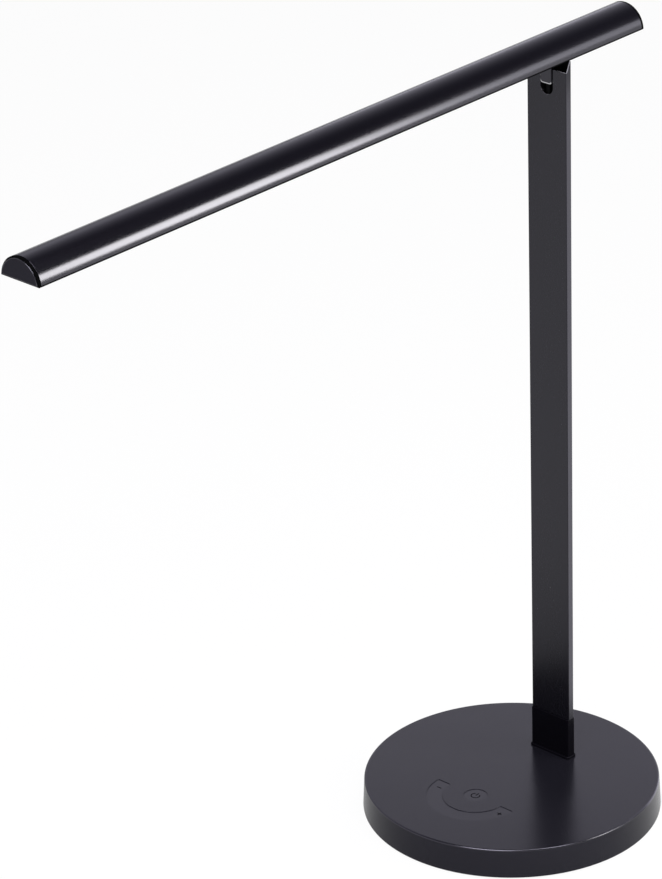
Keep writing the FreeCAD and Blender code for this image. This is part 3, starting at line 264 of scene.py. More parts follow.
# What a finish has unless it says otherwise: cool tints its reflections, stretch draws out its grain
PLAIN = dict(specular=0.5, grain=1500.0, drift=200.0, spread=0.06, bump=0.02, stretch=(1.0, 1.0, 1.0),
             metallic=0.0, amount=0.25, cool=False)
FINISHES = {
    # Outer pieces
    "satin_shell": dict(colour="shell", roughness=0.23, specular=0.24, grain=2600.0, drift=18.0,
                        spread=0.05, bump=0.05, cool=True),
    "smooth_touch": dict(colour="shell", roughness=0.23, specular=0.29, grain=2600.0, drift=18.0,
                         spread=0.05, bump=0.03, cool=True),
    "mark_print": dict(colour="mark", roughness=0.85, specular=0.0, grain=4000.0, amount=0.3),
    "foam_pad": dict(colour="rubber", roughness=0.8, specular=0.2, drift=60.0, spread=0.08, bump=0.35),
    "dull_foot": dict(colour="foot", roughness=0.26, specular=0.05, grain=1800.0, drift=40.0,
                      spread=0.05, cool=True),
    "tube_coat": dict(colour="tube", roughness=0.27, specular=0.38, grain=1600.0, drift=30.0,
                      bump=0.03, stretch=(1.0, 1.0, 0.12), cool=True),
    # Partly a bare cut edge, partly a painted highlight: a light grey line along the mouth and the slot
    "sawn_edge": dict(colour="sawn", roughness=0.38, specular=0.60, grain=2500.0, bump=0.10),
    # Painted shade: near-black and barely glossy, put where the upright's inside, the bar's lower edges and
    # the caps' grooves lie in shade
    "dull_black": dict(colour="inside", roughness=0.80, specular=0.03, grain=2000.0, drift=60.0,
                       spread=0.05, bump=0.05),
    "arm_steel": dict(colour="bar", roughness=0.30, specular=0.52, grain=1800.0, drift=120.0,
                      spread=0.08, bump=0.03, cool=True),
    # Painted highlight: light metal along the arm's lower edge and corners
    "bare_edge": dict(colour="bare", roughness=0.30, grain=1800.0, metallic=1.0),
    "bar_anodised": dict(colour="bar", roughness=0.21, specular=0.80, grain=1600.0, drift=30.0,
                         spread=0.05, bump=0.03, stretch=(1.0, 0.06, 1.0), cool=True),
    "matte_cap": dict(colour="cap", roughness=0.58, specular=0.10, grain=2600.0, drift=60.0,
                      spread=0.05, bump=0.04, cool=True),
    "polished_rim": dict(colour="bar", roughness=0.20, specular=0.90, grain=2600.0, drift=60.0,
                         spread=0.04, cool=True),
    "soft_jacket": dict(colour="jacket", roughness=0.75, specular=0.05, grain=1800.0, bump=0.1),
    # Solids that show as they are
    "zinc_steel": dict(colour="zinc", roughness=0.32, grain=1200.0, drift=150.0, metallic=1.0),
    "rolled_steel": dict(colour="rolled", roughness=0.45, grain=900.0, drift=40.0, metallic=1.0,
                         stretch=(1.0, 0.1, 1.0)),
    # Partly blackened steel, partly painted shade: near black and barely glossy inside the upright's mouth
    "blackened_steel": dict(colour="blackened", roughness=0.60, specular=0.1, drift=120.0, spread=0.1,
                            bump=0.05),
    "ground_steel": dict(colour="ground", roughness=0.22, grain=2500.0, drift=300.0, metallic=1.0,
                         stretch=(0.1, 1.0, 1.0)),
    "tinned_copper": dict(colour="copper", roughness=0.28, metallic=1.0),
    "green_laminate": dict(colour="board", roughness=0.35, grain=900.0, drift=150.0, bump=0.05),
    "white_laminate": dict(colour="strip", roughness=0.4, grain=900.0, drift=100.0, amount=0.05),
    "moulded_epoxy": dict(colour="epoxy", roughness=0.5, specular=0.4, grain=2500.0, drift=300.0, bump=0.1),
    "pale_nylon": dict(colour="nylon", roughness=0.45, specular=0.4, drift=150.0, amount=0.08),
    "chip_phosphor": dict(colour="phosphor", roughness=0.3, drift=400.0, amount=0.1),
}

# The finish of each solid that has no finer piece in its place
SOLIDS = {
    "base_cover": "satin_shell", "base_screws": "zinc_steel", "base_ballast": "rolled_steel",
    "touch_board": "green_laminate", "touch_electrodes": "tinned_copper", "control_chip": "moulded_epoxy",
    "driver_coil": "moulded_epoxy", "lead_sockets": "pale_nylon", "inlet_socket": "matte_cap",
    "inlet_pin": "tinned_copper", "inlet_lead": "soft_jacket", "foot_screws": "zinc_steel",
    "hinge_yoke": "blackened_steel", "hinge_pin": "ground_steel", "friction_washers": "ground_steel",
    "arm_screws": "zinc_steel", "led_board": "white_laminate", "led_chips": "chip_phosphor",
    "head_leads": "soft_jacket",
}


# Meshes

def finish_piece(name, bm, body, nodes, slot, *finishes, edge=0.0, steps=2, smooth=45.0):
    """Turn a mesh into a named piece that rides on a body and stands for its nodes."""
    bmesh.ops.remove_doubles(bm, verts=bm.verts, dist=MERGE)
    piece = loose_object(name, bm)
    mesh = piece.data
    mesh.shade_smooth()
    if edge:
        rounded = piece.modifiers.new("edge_round", "BEVEL")
        rounded.width = edge
        rounded.segments = steps
        rounded.limit_method = "ANGLE"
        rounded.angle_limit = math.radians(smooth)
        rounded.profile = 0.5
        rounded.use_clamp_overlap = True
    else:
        mesh.set_sharp_from_angle(angle=math.radians(smooth))
    weighted = piece.modifiers.new("face_normals", "WEIGHTED_NORMAL")
    weighted.keep_sharp = True
    weighted.weight = 90
    for look in finishes:
        mesh.materials.append(finish(look))
    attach(piece, body)
    if nodes:
        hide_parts(*nodes)


def loose_object(name, bm):
    """Put a mesh into the scene with its faces outward."""
    bmesh.ops.recalc_face_normals(bm, faces=bm.faces)
    mesh = bpy.data.meshes.new(name)
    bm.to_mesh(mesh)
    bm.free()
    item = bpy.data.objects.new(name, mesh)
    bpy.context.scene.collection.objects.link(item)
    return item


def carve(bm, *cutters):
    """Take cutter meshes out of a mesh and return the result."""
    block = loose_object("carved", bm)
    tools = [loose_object("cutter", cutter) for cutter in cutters]
    for tool in tools:
        step = block.modifiers.new("carve", "BOOLEAN")
        step.operation = "DIFFERENCE"
        step.solver = "EXACT"
        step.object = tool
    bpy.context.view_layer.update()
    evaluated = block.evaluated_get(bpy.context.evaluated_depsgraph_get())
    result = bmesh.new()
    result.from_mesh(evaluated.to_mesh())
    evaluated.to_mesh_clear()
    for item in [block] + tools:
        mesh = item.data
        bpy.data.objects.remove(item)
        bpy.data.meshes.remove(mesh)
    return result


def sheet(bm, width, depth, place):
    """Add one level rectangle about a place and return its corners."""
    verts = bmesh.ops.create_grid(bm, x_segments=1, y_segments=1, size=0.5)["verts"]
    bmesh.ops.scale(bm, vec=(width, depth, 1.0), verts=verts)
    bmesh.ops.translate(bm, vec=place, verts=verts)
    return verts


def cylinder(radius, depth, segments):
    """Make an upright cylinder about the origin."""
    bm = bmesh.new()
    bmesh.ops.create_cone(bm, cap_ends=True, segments=segments, radius1=radius, radius2=radius, depth=depth)
    return bm


def soften(bm, geom, size, steps, affect, clamp=False):
    """Round edges, or the corners of a level face."""
    bmesh.ops.bevel(bm, geom=geom, offset=size, offset_type="OFFSET", segments=steps, profile=0.5,
                    affect=affect, material=-1, clamp_overlap=clamp)


def rounded_plate(bm, width, depth, corner, place):
    """Add one level face with round corners about a place."""
    soften(bm, sheet(bm, width, depth, place), corner, 8, "VERTICES")
    return max(bm.faces, key=lambda face: len(face.verts))


def lift(bm, face, step):
    """Extrude one face along a step and return the moved face."""
    made = bmesh.ops.extrude_face_region(bm, geom=[face])
    top = [item for item in made["geom"] if isinstance(item, bmesh.types.BMFace)][0]
    bmesh.ops.translate(bm, vec=step, verts=top.verts)
    return top


def thicken(bm, rise):
    """Extrude all faces of a level mesh straight up, or down if the rise is negative."""
    made = bmesh.ops.extrude_face_region(bm, geom=bm.faces[:])
    moved = [item for item in made["geom"] if isinstance(item, bmesh.types.BMVert)]
    bmesh.ops.translate(bm, vec=(0.0, 0.0, rise), verts=moved)


def shrink(bm, face, inward, outward):
    """Inset a face while it moves along its own normal, and return the faces round it."""
    return bmesh.ops.inset_region(bm, faces=[face], thickness=inward, depth=outward,
                                  use_boundary=True, use_even_offset=True)["faces"]


def round_over(bm, face, radius, steps):
    """Round the rim of a raised face by small insets along a quarter circle."""
    angles = [math.pi / 2 * step / steps for step in range(steps + 1)]
    for first, second in zip(angles, angles[1:]):
        shrink(bm, face, radius * (math.cos(first) - math.cos(second)),
               radius * (math.sin(second) - math.sin(first)))


def slice_mesh(bm, place, way, geom=None, drop=False):
    """Cut a mesh along a plane, and drop what lies beyond and close the cut if asked."""
    bmesh.ops.bisect_plane(bm, geom=geom or bm.verts[:] + bm.edges[:] + bm.faces[:], dist=MERGE,
                           plane_co=place, plane_no=way, clear_outer=drop)
    if drop:
        fill_holes(bm)


def front_faces(bm):
    """Return the faces that look straight to the front."""
    bm.normal_update()
    return [face for face in bm.faces if face.normal.y < -STRAIGHT]


def fill_holes(bm):
    """Close every open ring of edges."""
    bmesh.ops.holes_fill(bm, edges=[edge for edge in bm.edges if edge.is_boundary], sides=0)


def fill_ring(bm, ring):
    """Close a ring of edges with one face."""
    return bmesh.ops.contextual_create(bm, geom=ring)["faces"][0]


def sweep(bm, start, axis, middle, turn, steps):
    """Draw an arc of edges from a vertex and return its last vertex."""
    made = bmesh.ops.spin(bm, geom=[start], axis=axis, cent=middle, angle=turn, steps=steps,
                          use_duplicate=False)
    return [item for item in made["geom_last"] if isinstance(item, bmesh.types.BMVert)][0]


def half_round_ring(bm, sizes, y, notch=0.0, inset=0.0):
    """Draw the bar's half round section as edges; notch is the depth of the window's channel."""
    known = set(bm.edges)
    half = sizes.width / 2
    arc_radius = (sizes.height + half * half / sizes.height) / 2
    arc_level = sizes.underside + sizes.height - arc_radius
    arc_radius -= inset
    underside = sizes.underside + inset
    corner = max(sizes.corner - inset, LEAST_CORNER)
    corner_level = underside + corner
    corner_x = math.sqrt((arc_radius - corner) ** 2 - (corner_level - arc_level) ** 2)
    corner_turn = math.atan2(corner_level - arc_level, corner_x)
    start = bm.verts.new((corner_x, y, underside))
    last = start
    for middle, turn, steps in (
        ((corner_x, y, corner_level), math.pi / 2 + corner_turn, 8),
        ((0.0, y, arc_level), math.pi - 2 * corner_turn, sizes.segments),
        ((-corner_x, y, corner_level), math.pi / 2 + corner_turn, 8),
    ):
        last = sweep(bm, last, (0.0, -1.0, 0.0), middle, turn, steps)
    path = [last]
    if notch:
        half_window = sizes.window_width / 2
        ceiling = underside + notch
        for x, z in ((-half_window, underside), (-half_window, ceiling),
                     (half_window, ceiling), (half_window, underside)):
            path.append(bm.verts.new((x, y, z)))
    path.append(start)
    for pair in zip(path, path[1:]):
        bm.edges.new(pair)
    return [edge for edge in bm.edges if edge not in known]


# Finishes

def feed(node, values):
    """Give sockets of a node a value each, or a link from another node's socket."""
    for socket, value in values.items():
        if isinstance(value, bpy.types.NodeSocket):
            node.id_data.links.new(value, node.inputs[socket])
        else:
            node.inputs[socket].default_value = value


def add_node(tree, kind, values=None, **settings):
    """Add a node with its settings and what goes into its sockets."""
    node = tree.nodes.new(kind)
    for name, value in settings.items():
        setattr(node, name, value)
    feed(node, values or {})
    return node


def calculate(tree, operation, *values, **settings):
    """Add a sum of values or sockets and return its result."""
    node = add_node(tree, "ShaderNodeMath", dict(enumerate(values)), operation=operation, **settings)
    return node.outputs[0]


def ramp(tree, value, start, end, low, high, **settings):
    """Add a ramp from low at the start to high at the end, and return its result."""
    node = add_node(tree, "ShaderNodeMapRange", {
        "Value": value, "From Min": start, "From Max": end, "To Min": low, "To Max": high}, **settings)
    return node.outputs["Result"]


def new_group(name, inputs, outputs):
    """Start a node group with named sockets, and return it with its entry and its exit."""
    tree = bpy.data.node_groups.new(name, "ShaderNodeTree")
    for socket, kind, default in inputs:
        made = tree.interface.new_socket(name=socket, in_out="INPUT", socket_type=kind)
        if default is not None:
            made.default_value = default
    for socket, kind in outputs:
        tree.interface.new_socket(name=socket, in_out="OUTPUT", socket_type=kind)
    return tree, tree.nodes.new("NodeGroupInput").outputs, tree.nodes.new("NodeGroupOutput")


def grain_group():
    """Fine moulded or etched grain with a slow drift in gloss."""
    known = bpy.data.node_groups.get("fine_grain")
    if known:
        return known
    tree, entry, leave = new_group(
        "fine_grain",
        [("Vector", "NodeSocketVector", None), ("Grain Scale", "NodeSocketFloat", 3000.0),
         ("Drift Scale", "NodeSocketFloat", 25.0), ("Roughness", "NodeSocketFloat", 0.4),
         ("Spread", "NodeSocketFloat", 0.05)],
        [("Roughness", "NodeSocketFloat"), ("Height", "NodeSocketFloat"), ("Drift", "NodeSocketFloat")])
    fine = add_node(tree, "ShaderNodeTexNoise", {
        "Vector": entry["Vector"], "Scale": entry["Grain Scale"], "Detail": 2.0, "Roughness": 0.6})
    drift = add_node(tree, "ShaderNodeTexNoise", {
        "Vector": entry["Vector"], "Scale": entry["Drift Scale"], "Detail": 3.0, "Roughness": 0.55,
        "Distortion": 0.4})
    fine, drift = fine.outputs["Fac"], drift.outputs["Fac"]
    fine_share = 0.35
    average = 0.5 * fine_share + 0.5
    blend = calculate(tree, "MULTIPLY_ADD", fine, fine_share, drift)
    centred = calculate(tree, "SUBTRACT", blend, average)
    rough = calculate(tree, "MULTIPLY_ADD", centred, entry["Spread"], entry["Roughness"], use_clamp=True)
    feed(leave, {"Roughness": rough, "Height": fine, "Drift": drift})
    return tree


def tint_group():
    """Lighten and darken a colour a little by a mask."""
    known = bpy.data.node_groups.get("tint_drift")
    if known:
        return known
    tree, entry, leave = new_group(
        "tint_drift",
        [("Colour", "NodeSocketColor", (0.5, 0.5, 0.5, 1.0)), ("Mask", "NodeSocketFloat", 0.5),
         ("Amount", "NodeSocketFloat", 0.2)],
        [("Colour", "NodeSocketColor")])
    shift = calculate(tree, "SUBTRACT", entry["Mask"], 0.5)
    gain = calculate(tree, "MULTIPLY_ADD", shift, entry["Amount"], 1.0)
    tinted = add_node(tree, "ShaderNodeVectorMath", {0: entry["Colour"], "Scale": gain}, operation="SCALE")
    feed(leave, {"Colour": tinted.outputs[0]})
    return tree


def new_material(name):
    """Start a material, and return it with its tree and its shader."""
    material = bpy.data.materials.new(name)
    material.use_nodes = True
    return material, material.node_tree, material.node_tree.nodes["Principled BSDF"]


def grain_relief(tree, texture, strength):
    """Add the relief of a grain and return its normal."""
    return add_node(tree, "ShaderNodeBump", {
        "Height": texture["Height"], "Strength": strength, "Distance": 0.0002}).outputs["Normal"]


def finish(name):
    """Find a finish by its name, or make it."""
    return bpy.data.materials.get(name) or (grained(name) if name in FINISHES else opal(name))


def grained(name):
    """A finish with fine grain: colour, gloss and relief all vary over the surface."""
    colours = bpy.context.scene.lamp_colours
    look = {**PLAIN, **FINISHES[name]}
    sheen = colours.sheen if look["cool"] else (1.0, 1.0, 1.0)
    material, tree, shader = new_material(name)
    place = add_node(tree, "ShaderNodeTexCoord").outputs["Object"]
    drawn = add_node(tree, "ShaderNodeMapping", {"Vector": place, "Scale": look["stretch"]})
    texture = add_node(tree, "ShaderNodeGroup", {
        "Vector": drawn.outputs[0], "Grain Scale": look["grain"], "Drift Scale": look["drift"],
        "Roughness": look["roughness"], "Spread": look["spread"]}, node_tree=grain_group()).outputs
    tint = add_node(tree, "ShaderNodeGroup", {
        "Colour": (*getattr(colours, look["colour"]), 1.0), "Mask": texture["Drift"],
        "Amount": look["amount"]}, node_tree=tint_group())
    feed(shader, {
        "Base Color": tint.outputs["Colour"], "Roughness": texture["Roughness"],
        "Metallic": look["metallic"], "Specular IOR Level": look["specular"],
        "Specular Tint": (*sheen, 1.0), "Normal": grain_relief(tree, texture, look["bump"])})
    return material


def opal(name):
    """Opal plastic with the light chips showing faintly through it."""
    colours, head = bpy.context.scene.lamp_colours, bpy.context.scene.lamp_head
    material, tree, shader = new_material(name)
    place = add_node(tree, "ShaderNodeTexCoord").outputs["Object"]
    apart = add_node(tree, "ShaderNodeSeparateXYZ", {0: place}).outputs
    along = calculate(tree, "SUBTRACT", apart["Y"], head.chip_first)
    nearest = calculate(tree, "PINGPONG", along, head.chip_pitch / 2)
    flat = add_node(tree, "ShaderNodeCombineXYZ", {"X": apart["X"], "Y": nearest})
    away = add_node(tree, "ShaderNodeVectorMath", {0: flat.outputs[0]}, operation="LENGTH")
    glow = ramp(tree, away.outputs["Value"], head.glow_inner, head.glow_outer, colours.glow_level, 0.0,
                interpolation_type="SMOOTHSTEP")
    mix = add_node(tree, "ShaderNodeMix", {
        "Factor": glow, "A": (*colours.opal, 1.0), "B": (*colours.chip_glow, 1.0)}, data_type="RGBA")
    texture = add_node(tree, "ShaderNodeGroup", {
        "Vector": place, "Grain Scale": 2200.0, "Roughness": 0.45}, node_tree=grain_group()).outputs
    feed(shader, {
        "Base Color": mix.outputs["Result"], "Roughness": texture["Roughness"], "Specular IOR Level": 0.4,
        "Subsurface Weight": 0.25, "Subsurface Scale": 0.002, "Normal": grain_relief(tree, texture, 0.03)})
    return material


# Operators, one for each piece or group of like pieces

class LampOperator:
    """What all operators share."""
    bl_options = {"REGISTER", "UNDO"}


class LAMP_OT_base_shell(LampOperator, bpy.types.Operator):
    """Moulded disc with a round rim, a sunk power key, a sunk slider and the power socket's hole"""
    bl_idname = "lamp.base_shell"
    bl_label = "Base shell"

    def execute(self, context):
        base = context.scene.lamp_base
        bm = bmesh.new()
        inner = base.top_radius - base.wall
        corners = [(base.top_radius, base.top_level), (base.foot_radius, base.foot_level),
                   (inner, base.foot_level), (inner, base.top_level - base.wall)]
        verts = [bm.verts.new((x, 0.0, z)) for x, z in corners]
        edges = [bm.edges.new(pair) for pair in zip(verts, verts[1:])]
        bmesh.ops.spin(bm, geom=verts + edges, axis=(0.0, 0.0, 1.0), cent=(0.0, 0.0, 0.0),
                       angle=math.tau, steps=base.segments, use_merge=True, use_duplicate=False)
        bmesh.ops.remove_doubles(bm, verts=bm.verts, dist=MERGE)
        fill_holes(bm)
        bmesh.ops.recalc_face_normals(bm, faces=bm.faces)
        self.round_edges(bm, base.top_radius, base.top_level, base.rim_round, 8)
        self.round_edges(bm, base.foot_radius, base.foot_level, base.lower_round, 4)
        bm = carve(bm, self.key_tool(base), self.slider_tool(base), self.inlet_tool(base))
        for face in bm.faces:
            place = face.calc_center_median()
            outside = place.xy.length > base.top_radius - base.rim_round
            if outside and place.z > base.top_level - base.rim_round:
                face.material_index = 1
            elif abs(place.z - base.top_level + base.touch_depth) < base.touch_edge:
                face.material_index = 2
        finish_piece("base_shell_skin", bm, "stand", ["base_shell"], "shell_plastic", "satin_shell",
                     "polished_rim", "smooth_touch", edge=base.touch_edge, smooth=60.0)
        return {"FINISHED"}

    def round_edges(self, bm, radius, level, size, steps):
        """Round the ring of edges at one radius and level."""
        ring = [edge for edge in bm.edges
                if all(abs(vert.co.z - level) < NEAR and abs(vert.co.xy.length - radius) < NEAR
                       for vert in edge.verts)]
        soften(bm, ring, size, steps, "EDGES")

    def key_tool(self, base):
        """Cutter for the power key."""
        bm = cylinder(base.key_radius, base.touch_depth * 2, 96)
        bmesh.ops.translate(bm, vec=(0.0, -base.control_setback, base.top_level), verts=bm.verts)
        return bm

    def slider_tool(self, base):
        """Cutter for the half ring slider."""
        bm = bmesh.new()
        level = base.top_level - base.touch_depth
        ends = [bm.verts.new((radius, -base.control_setback, level))
                for radius in (base.slider_inner, base.slider_outer)]
        edge = bm.edges.new(ends)
        bmesh.ops.spin(bm, geom=ends + [edge], axis=(0.0, 0.0, -1.0), angle=math.pi, steps=64,
                       cent=(0.0, -base.control_setback, level), use_duplicate=False)
        corners = [vert for vert in bm.verts if len(vert.link_edges) == 2]
        soften(bm, corners, base.slider_corner, 6, "VERTICES", clamp=True)
        thicken(bm, base.touch_depth * 2)
        return bm

    def inlet_tool(self, base):
        """Cutter for the hole of the power socket."""
        bm = cylinder(base.inlet_hole, base.inlet_reach, 64)
        bmesh.ops.transform(bm, matrix=Matrix.Rotation(math.pi / 2, 4, "X"), verts=bm.verts)
        bmesh.ops.translate(bm, vec=(0.0, base.top_radius, base.inlet_level), verts=bm.verts)
        return bm


class LAMP_OT_touch_marks(LampOperator, bpy.types.Operator):
    """Power, minus and plus marks on the key and the slider"""
    bl_idname = "lamp.touch_marks"
    bl_label = "Touch marks"

    def execute(self, context):
        base = context.scene.lamp_base
        bm = bmesh.new()
        level = base.top_level - base.touch_depth + base.mark_height
        middle = -base.control_setback
        row = middle - base.mark_drop
        line, size, gap = base.mark_line, base.mark_size, base.power_gap
        stub = (size - line) / 2
        step = (stub + line) / 2
        for x, y, width, depth in (
            (-base.minus_place, row, size, line), (base.plus_place, row, size, line),
            (base.plus_place, row - step, line, stub), (base.plus_place, row + step, line, stub),
            (0.0, middle + base.stroke_place, line, base.stroke_length),
        ):
            sheet(bm, width, depth, (x, y, level))
        ends = [bm.verts.new((radius * math.sin(gap), middle + radius * math.cos(gap), level))
                for radius in (base.power_ring - line / 2, base.power_ring + line / 2)]
        bmesh.ops.spin(bm, geom=ends + [bm.edges.new(ends)], axis=(0.0, 0.0, -1.0), cent=(0.0, middle, level),
                       angle=math.tau - 2 * gap, steps=40, use_duplicate=False)
        thicken(bm, -base.mark_height * 2)
        finish_piece("touch_marks", bm, "stand", [], "shell_plastic", "mark_print")
        return {"FINISHED"}


class LAMP_OT_base_pad(LampOperator, bpy.types.Operator):
    """Anti-slip disc that the lamp stands on"""
    bl_idname = "lamp.base_pad"
    bl_label = "Anti-slip pad"

    def execute(self, context):
        base = context.scene.lamp_base
        bm = bmesh.new()
        bmesh.ops.create_circle(bm, cap_ends=True, segments=base.segments, radius=base.pad_radius)
        thicken(bm, base.foot_level)
        finish_piece("base_pad_disc", bm, "stand", ["base_pad"], "pad_rubber", "foam_pad",
                     edge=base.pad_round, steps=3)
        return {"FINISHED"}


class LAMP_OT_upright_foot(LampOperator, bpy.types.Operator):
    """Moulded foot with a small flange on the base"""
    bl_idname = "lamp.upright_foot"
    bl_label = "Upright foot"

    def execute(self, context):
        base, upright = context.scene.lamp_base, context.scene.lamp_upright
        bm = bmesh.new()
        step, lip = upright.flange_step, upright.flange_round
        face = rounded_plate(bm, upright.foot_width + 2 * step, upright.foot_depth + 2 * step,
                             upright.foot_corner + step, (0.0, upright.setback, base.top_level))
        flange = lift(bm, face, (0.0, 0.0, upright.flange_height - lip))
        round_over(bm, flange, lip, 6)
        shrink(bm, flange, step - lip, 0.0)
        rise = upright.foot_top - base.top_level - upright.flange_height - upright.foot_round
        top = lift(bm, flange, (0.0, 0.0, rise))
        bmesh.ops.delete(bm, geom=[flange], context="FACES_ONLY")
        round_over(bm, top, upright.foot_round, 4)
        finish_piece("upright_foot_shell", bm, "stand", ["upright_foot"], "foot_plastic",
                     "dull_foot", smooth=50.0)
        return {"FINISHED"}


class LAMP_OT_upright_tube(LampOperator, bpy.types.Operator):
    """Flat tube whose mouth is cut on a slant and slotted in front"""
    bl_idname = "lamp.upright_tube"
    bl_label = "Upright tube"

    def execute(self, context):
        upright = context.scene.lamp_upright
        bm = bmesh.new()
        face = rounded_plate(bm, upright.tube_width, upright.tube_depth, upright.tube_corner,
                             (0.0, upright.setback, upright.foot_top))
        lift(bm, face, (0.0, 0.0, upright.back_top - upright.foot_top))
        ends = [face for face in bm.faces if abs(face.normal.z) > 0.5]
        bmesh.ops.delete(bm, geom=ends, context="FACES_ONLY")
        self.cut_mouth(bm, upright)
        self.cut_slot(bm, upright)
        bmesh.ops.recalc_face_normals(bm, faces=bm.faces)
        self.turn_outward(bm, upright)
        outside = set(bm.faces)
        bmesh.ops.solidify(bm, geom=bm.faces[:], thickness=upright.tube_wall)
        # Inner faces get near-black painted shade. The cut rim faces get the sawn finish: a bare cut edge
        # with a painted highlight.
        for face in bm.faces:
            if face not in outside:
                sawn = any(other in outside for edge in face.edges for other in edge.link_faces)
                face.material_index = 2 if sawn else 1
        finish_piece("upright_tube_skin", bm, "stand", ["upright_tube"], "black_aluminium",
                     "tube_coat", "dull_black", "sawn_edge", edge=upright.edge_round)
        return {"FINISHED"}

    def cut_mouth(self, bm, upright):
        """Cut the tube's top level in front, on a slant at the sides."""
        front = upright.setback - upright.tube_depth / 2 + upright.front_lip
        back = upright.setback + upright.tube_depth / 2 - upright.back_lip
        corner = Vector((0.0, front, upright.front_top))
        slope = Vector((0.0, back - front, upright.back_top - upright.front_top))
        across = Vector((0.0, -slope.z, slope.y)).normalized()
        slice_mesh(bm, corner, (0.0, 0.0, 1.0))
        upper = [face for face in bm.faces if face.calc_center_median().z > upright.front_top]
        edges = dict.fromkeys(edge for face in upper for edge in face.edges)
        verts = dict.fromkeys(vert for face in upper for vert in face.verts)
        slice_mesh(bm, corner, across, geom=[*verts, *edges, *upper])
        spare = [face for face in bm.faces
                 if face.calc_center_median().z > upright.front_top
                 and (face.calc_center_median() - corner).dot(across) > 0.0]
        bmesh.ops.delete(bm, geom=spare, context="FACES")

    def cut_slot(self, bm, upright):
        """Redraw the front wall with a round ended slot that is open above."""
        front = upright.setback - upright.tube_depth / 2
        half = upright.slot_width / 2
        wall = max(front_faces(bm), key=lambda face: face.calc_area())
        rows = sorted(wall.verts, key=lambda vert: (round(vert.co.z, 5), vert.co.x))
        lower_left, lower_right, upper_left, upper_right = rows
        bmesh.ops.delete(bm, geom=[wall], context="FACES_ONLY")
        lid = bm.edges.get((upper_left, upper_right))
        if lid:
            bmesh.ops.delete(bm, geom=[lid], context="EDGES")
        turn_level = upright.slot_bottom + half
        start = bm.verts.new((half, front, turn_level))
        end = sweep(bm, start, (0.0, 1.0, 0.0), (0.0, front, turn_level), math.pi, 24)
        right_lip = bm.verts.new((half, front, upright.front_top))
        left_lip = bm.verts.new((-half, front, upright.front_top))
        arc = [start]
        while arc[-1] is not end:
            ahead = [edge.other_vert(arc[-1]) for edge in arc[-1].link_edges]
            arc.append([vert for vert in ahead if vert not in arc][0])
        bm.faces.new([lower_left, lower_right, upper_right, right_lip] + arc + [left_lip, upper_left])

    def turn_outward(self, bm, upright):
        """Point every face away from the tube's middle."""
        middle = Vector((0.0, upright.setback, 0.0))
        bm.normal_update()
        wall = max(bm.faces, key=lambda face: face.calc_area())
        if wall.normal.dot(wall.calc_center_median() - middle) < 0.0:
            bmesh.ops.reverse_faces(bm, faces=bm.faces[:])


class LAMP_OT_upright_lead(LampOperator, bpy.types.Operator):
    """Lead inside the upright, which ends below the arm's swing"""
    bl_idname = "lamp.upright_lead"
    bl_label = "Upright lead"

    def execute(self, context):
        bm = bmesh.new()
        bm.from_mesh(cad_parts["upright_lead"].data)
        bmesh.ops.remove_doubles(bm, verts=bm.verts, dist=NEAR)
        slice_mesh(bm, (0.0, 0.0, context.scene.lamp_upright.lead_top), (0.0, 0.0, 1.0), drop=True)
        finish_piece("upright_lead_jacket", bm, "stand", ["upright_lead"], "lead_jacket",
                     "soft_jacket", smooth=35.0)
        return {"FINISHED"}


class LAMP_OT_hinge_arm(LampOperator, bpy.types.Operator):
    """Arm of the light bar that goes down into the slot"""
    bl_idname = "lamp.hinge_arm"
    bl_label = "Hinge arm"

    def execute(self, context):
        head = context.scene.lamp_head
        bm = bmesh.new()
        side = -head.arm_width / 2
        front = head.pin_setback - head.arm_front
        back = head.pin_setback + head.knuckle
        low = head.pin_level - head.knuckle
        start = bm.verts.new((side, head.pin_setback, low))
        end = sweep(bm, start, (1.0, 0.0, 0.0), (side, head.pin_setback, head.pin_level), math.pi / 2, 8)
        corners = [bm.verts.new((side, y, z))
                   for y, z in ((back, head.arm_top), (front, head.arm_top), (front, low))]
        for pair in zip([end] + corners, corners + [start]):
            bm.edges.new(pair)
        lift(bm, fill_ring(bm, bm.edges[:]), (head.arm_width, 0.0, 0.0))
        self.round_corners(bm, head, low)
        bmesh.ops.recalc_face_normals(bm, faces=bm.faces)
        plate = front_faces(bm)[0]
        # Lower edge and corner faces take the light metal of the painted highlight
        for face in shrink(bm, plate, head.arm_edge, head.arm_rise):
            if face.calc_center_median().z < low + head.arm_corner:
                face.material_index = 1
        finish_piece("hinge_arm_tongue", bm, "head", ["hinge_arm"], "hinge_steel", "arm_steel",
                     "bare_edge", smooth=18.0)
        return {"FINISHED"}

    def round_corners(self, bm, head, low):
        """Cut the two lower corners round, one facet at a time."""
        for side in (-1.0, 1.0):
            middle = Vector((side * (head.arm_width / 2 - head.arm_corner), 0.0, low + head.arm_corner))
            for degrees in (15, 30, 45, 60, 75):
                turn = math.radians(degrees)
                way = Vector((side * math.sin(turn), 0.0, -math.cos(turn)))
                slice_mesh(bm, middle + way * head.arm_corner, way, drop=True)


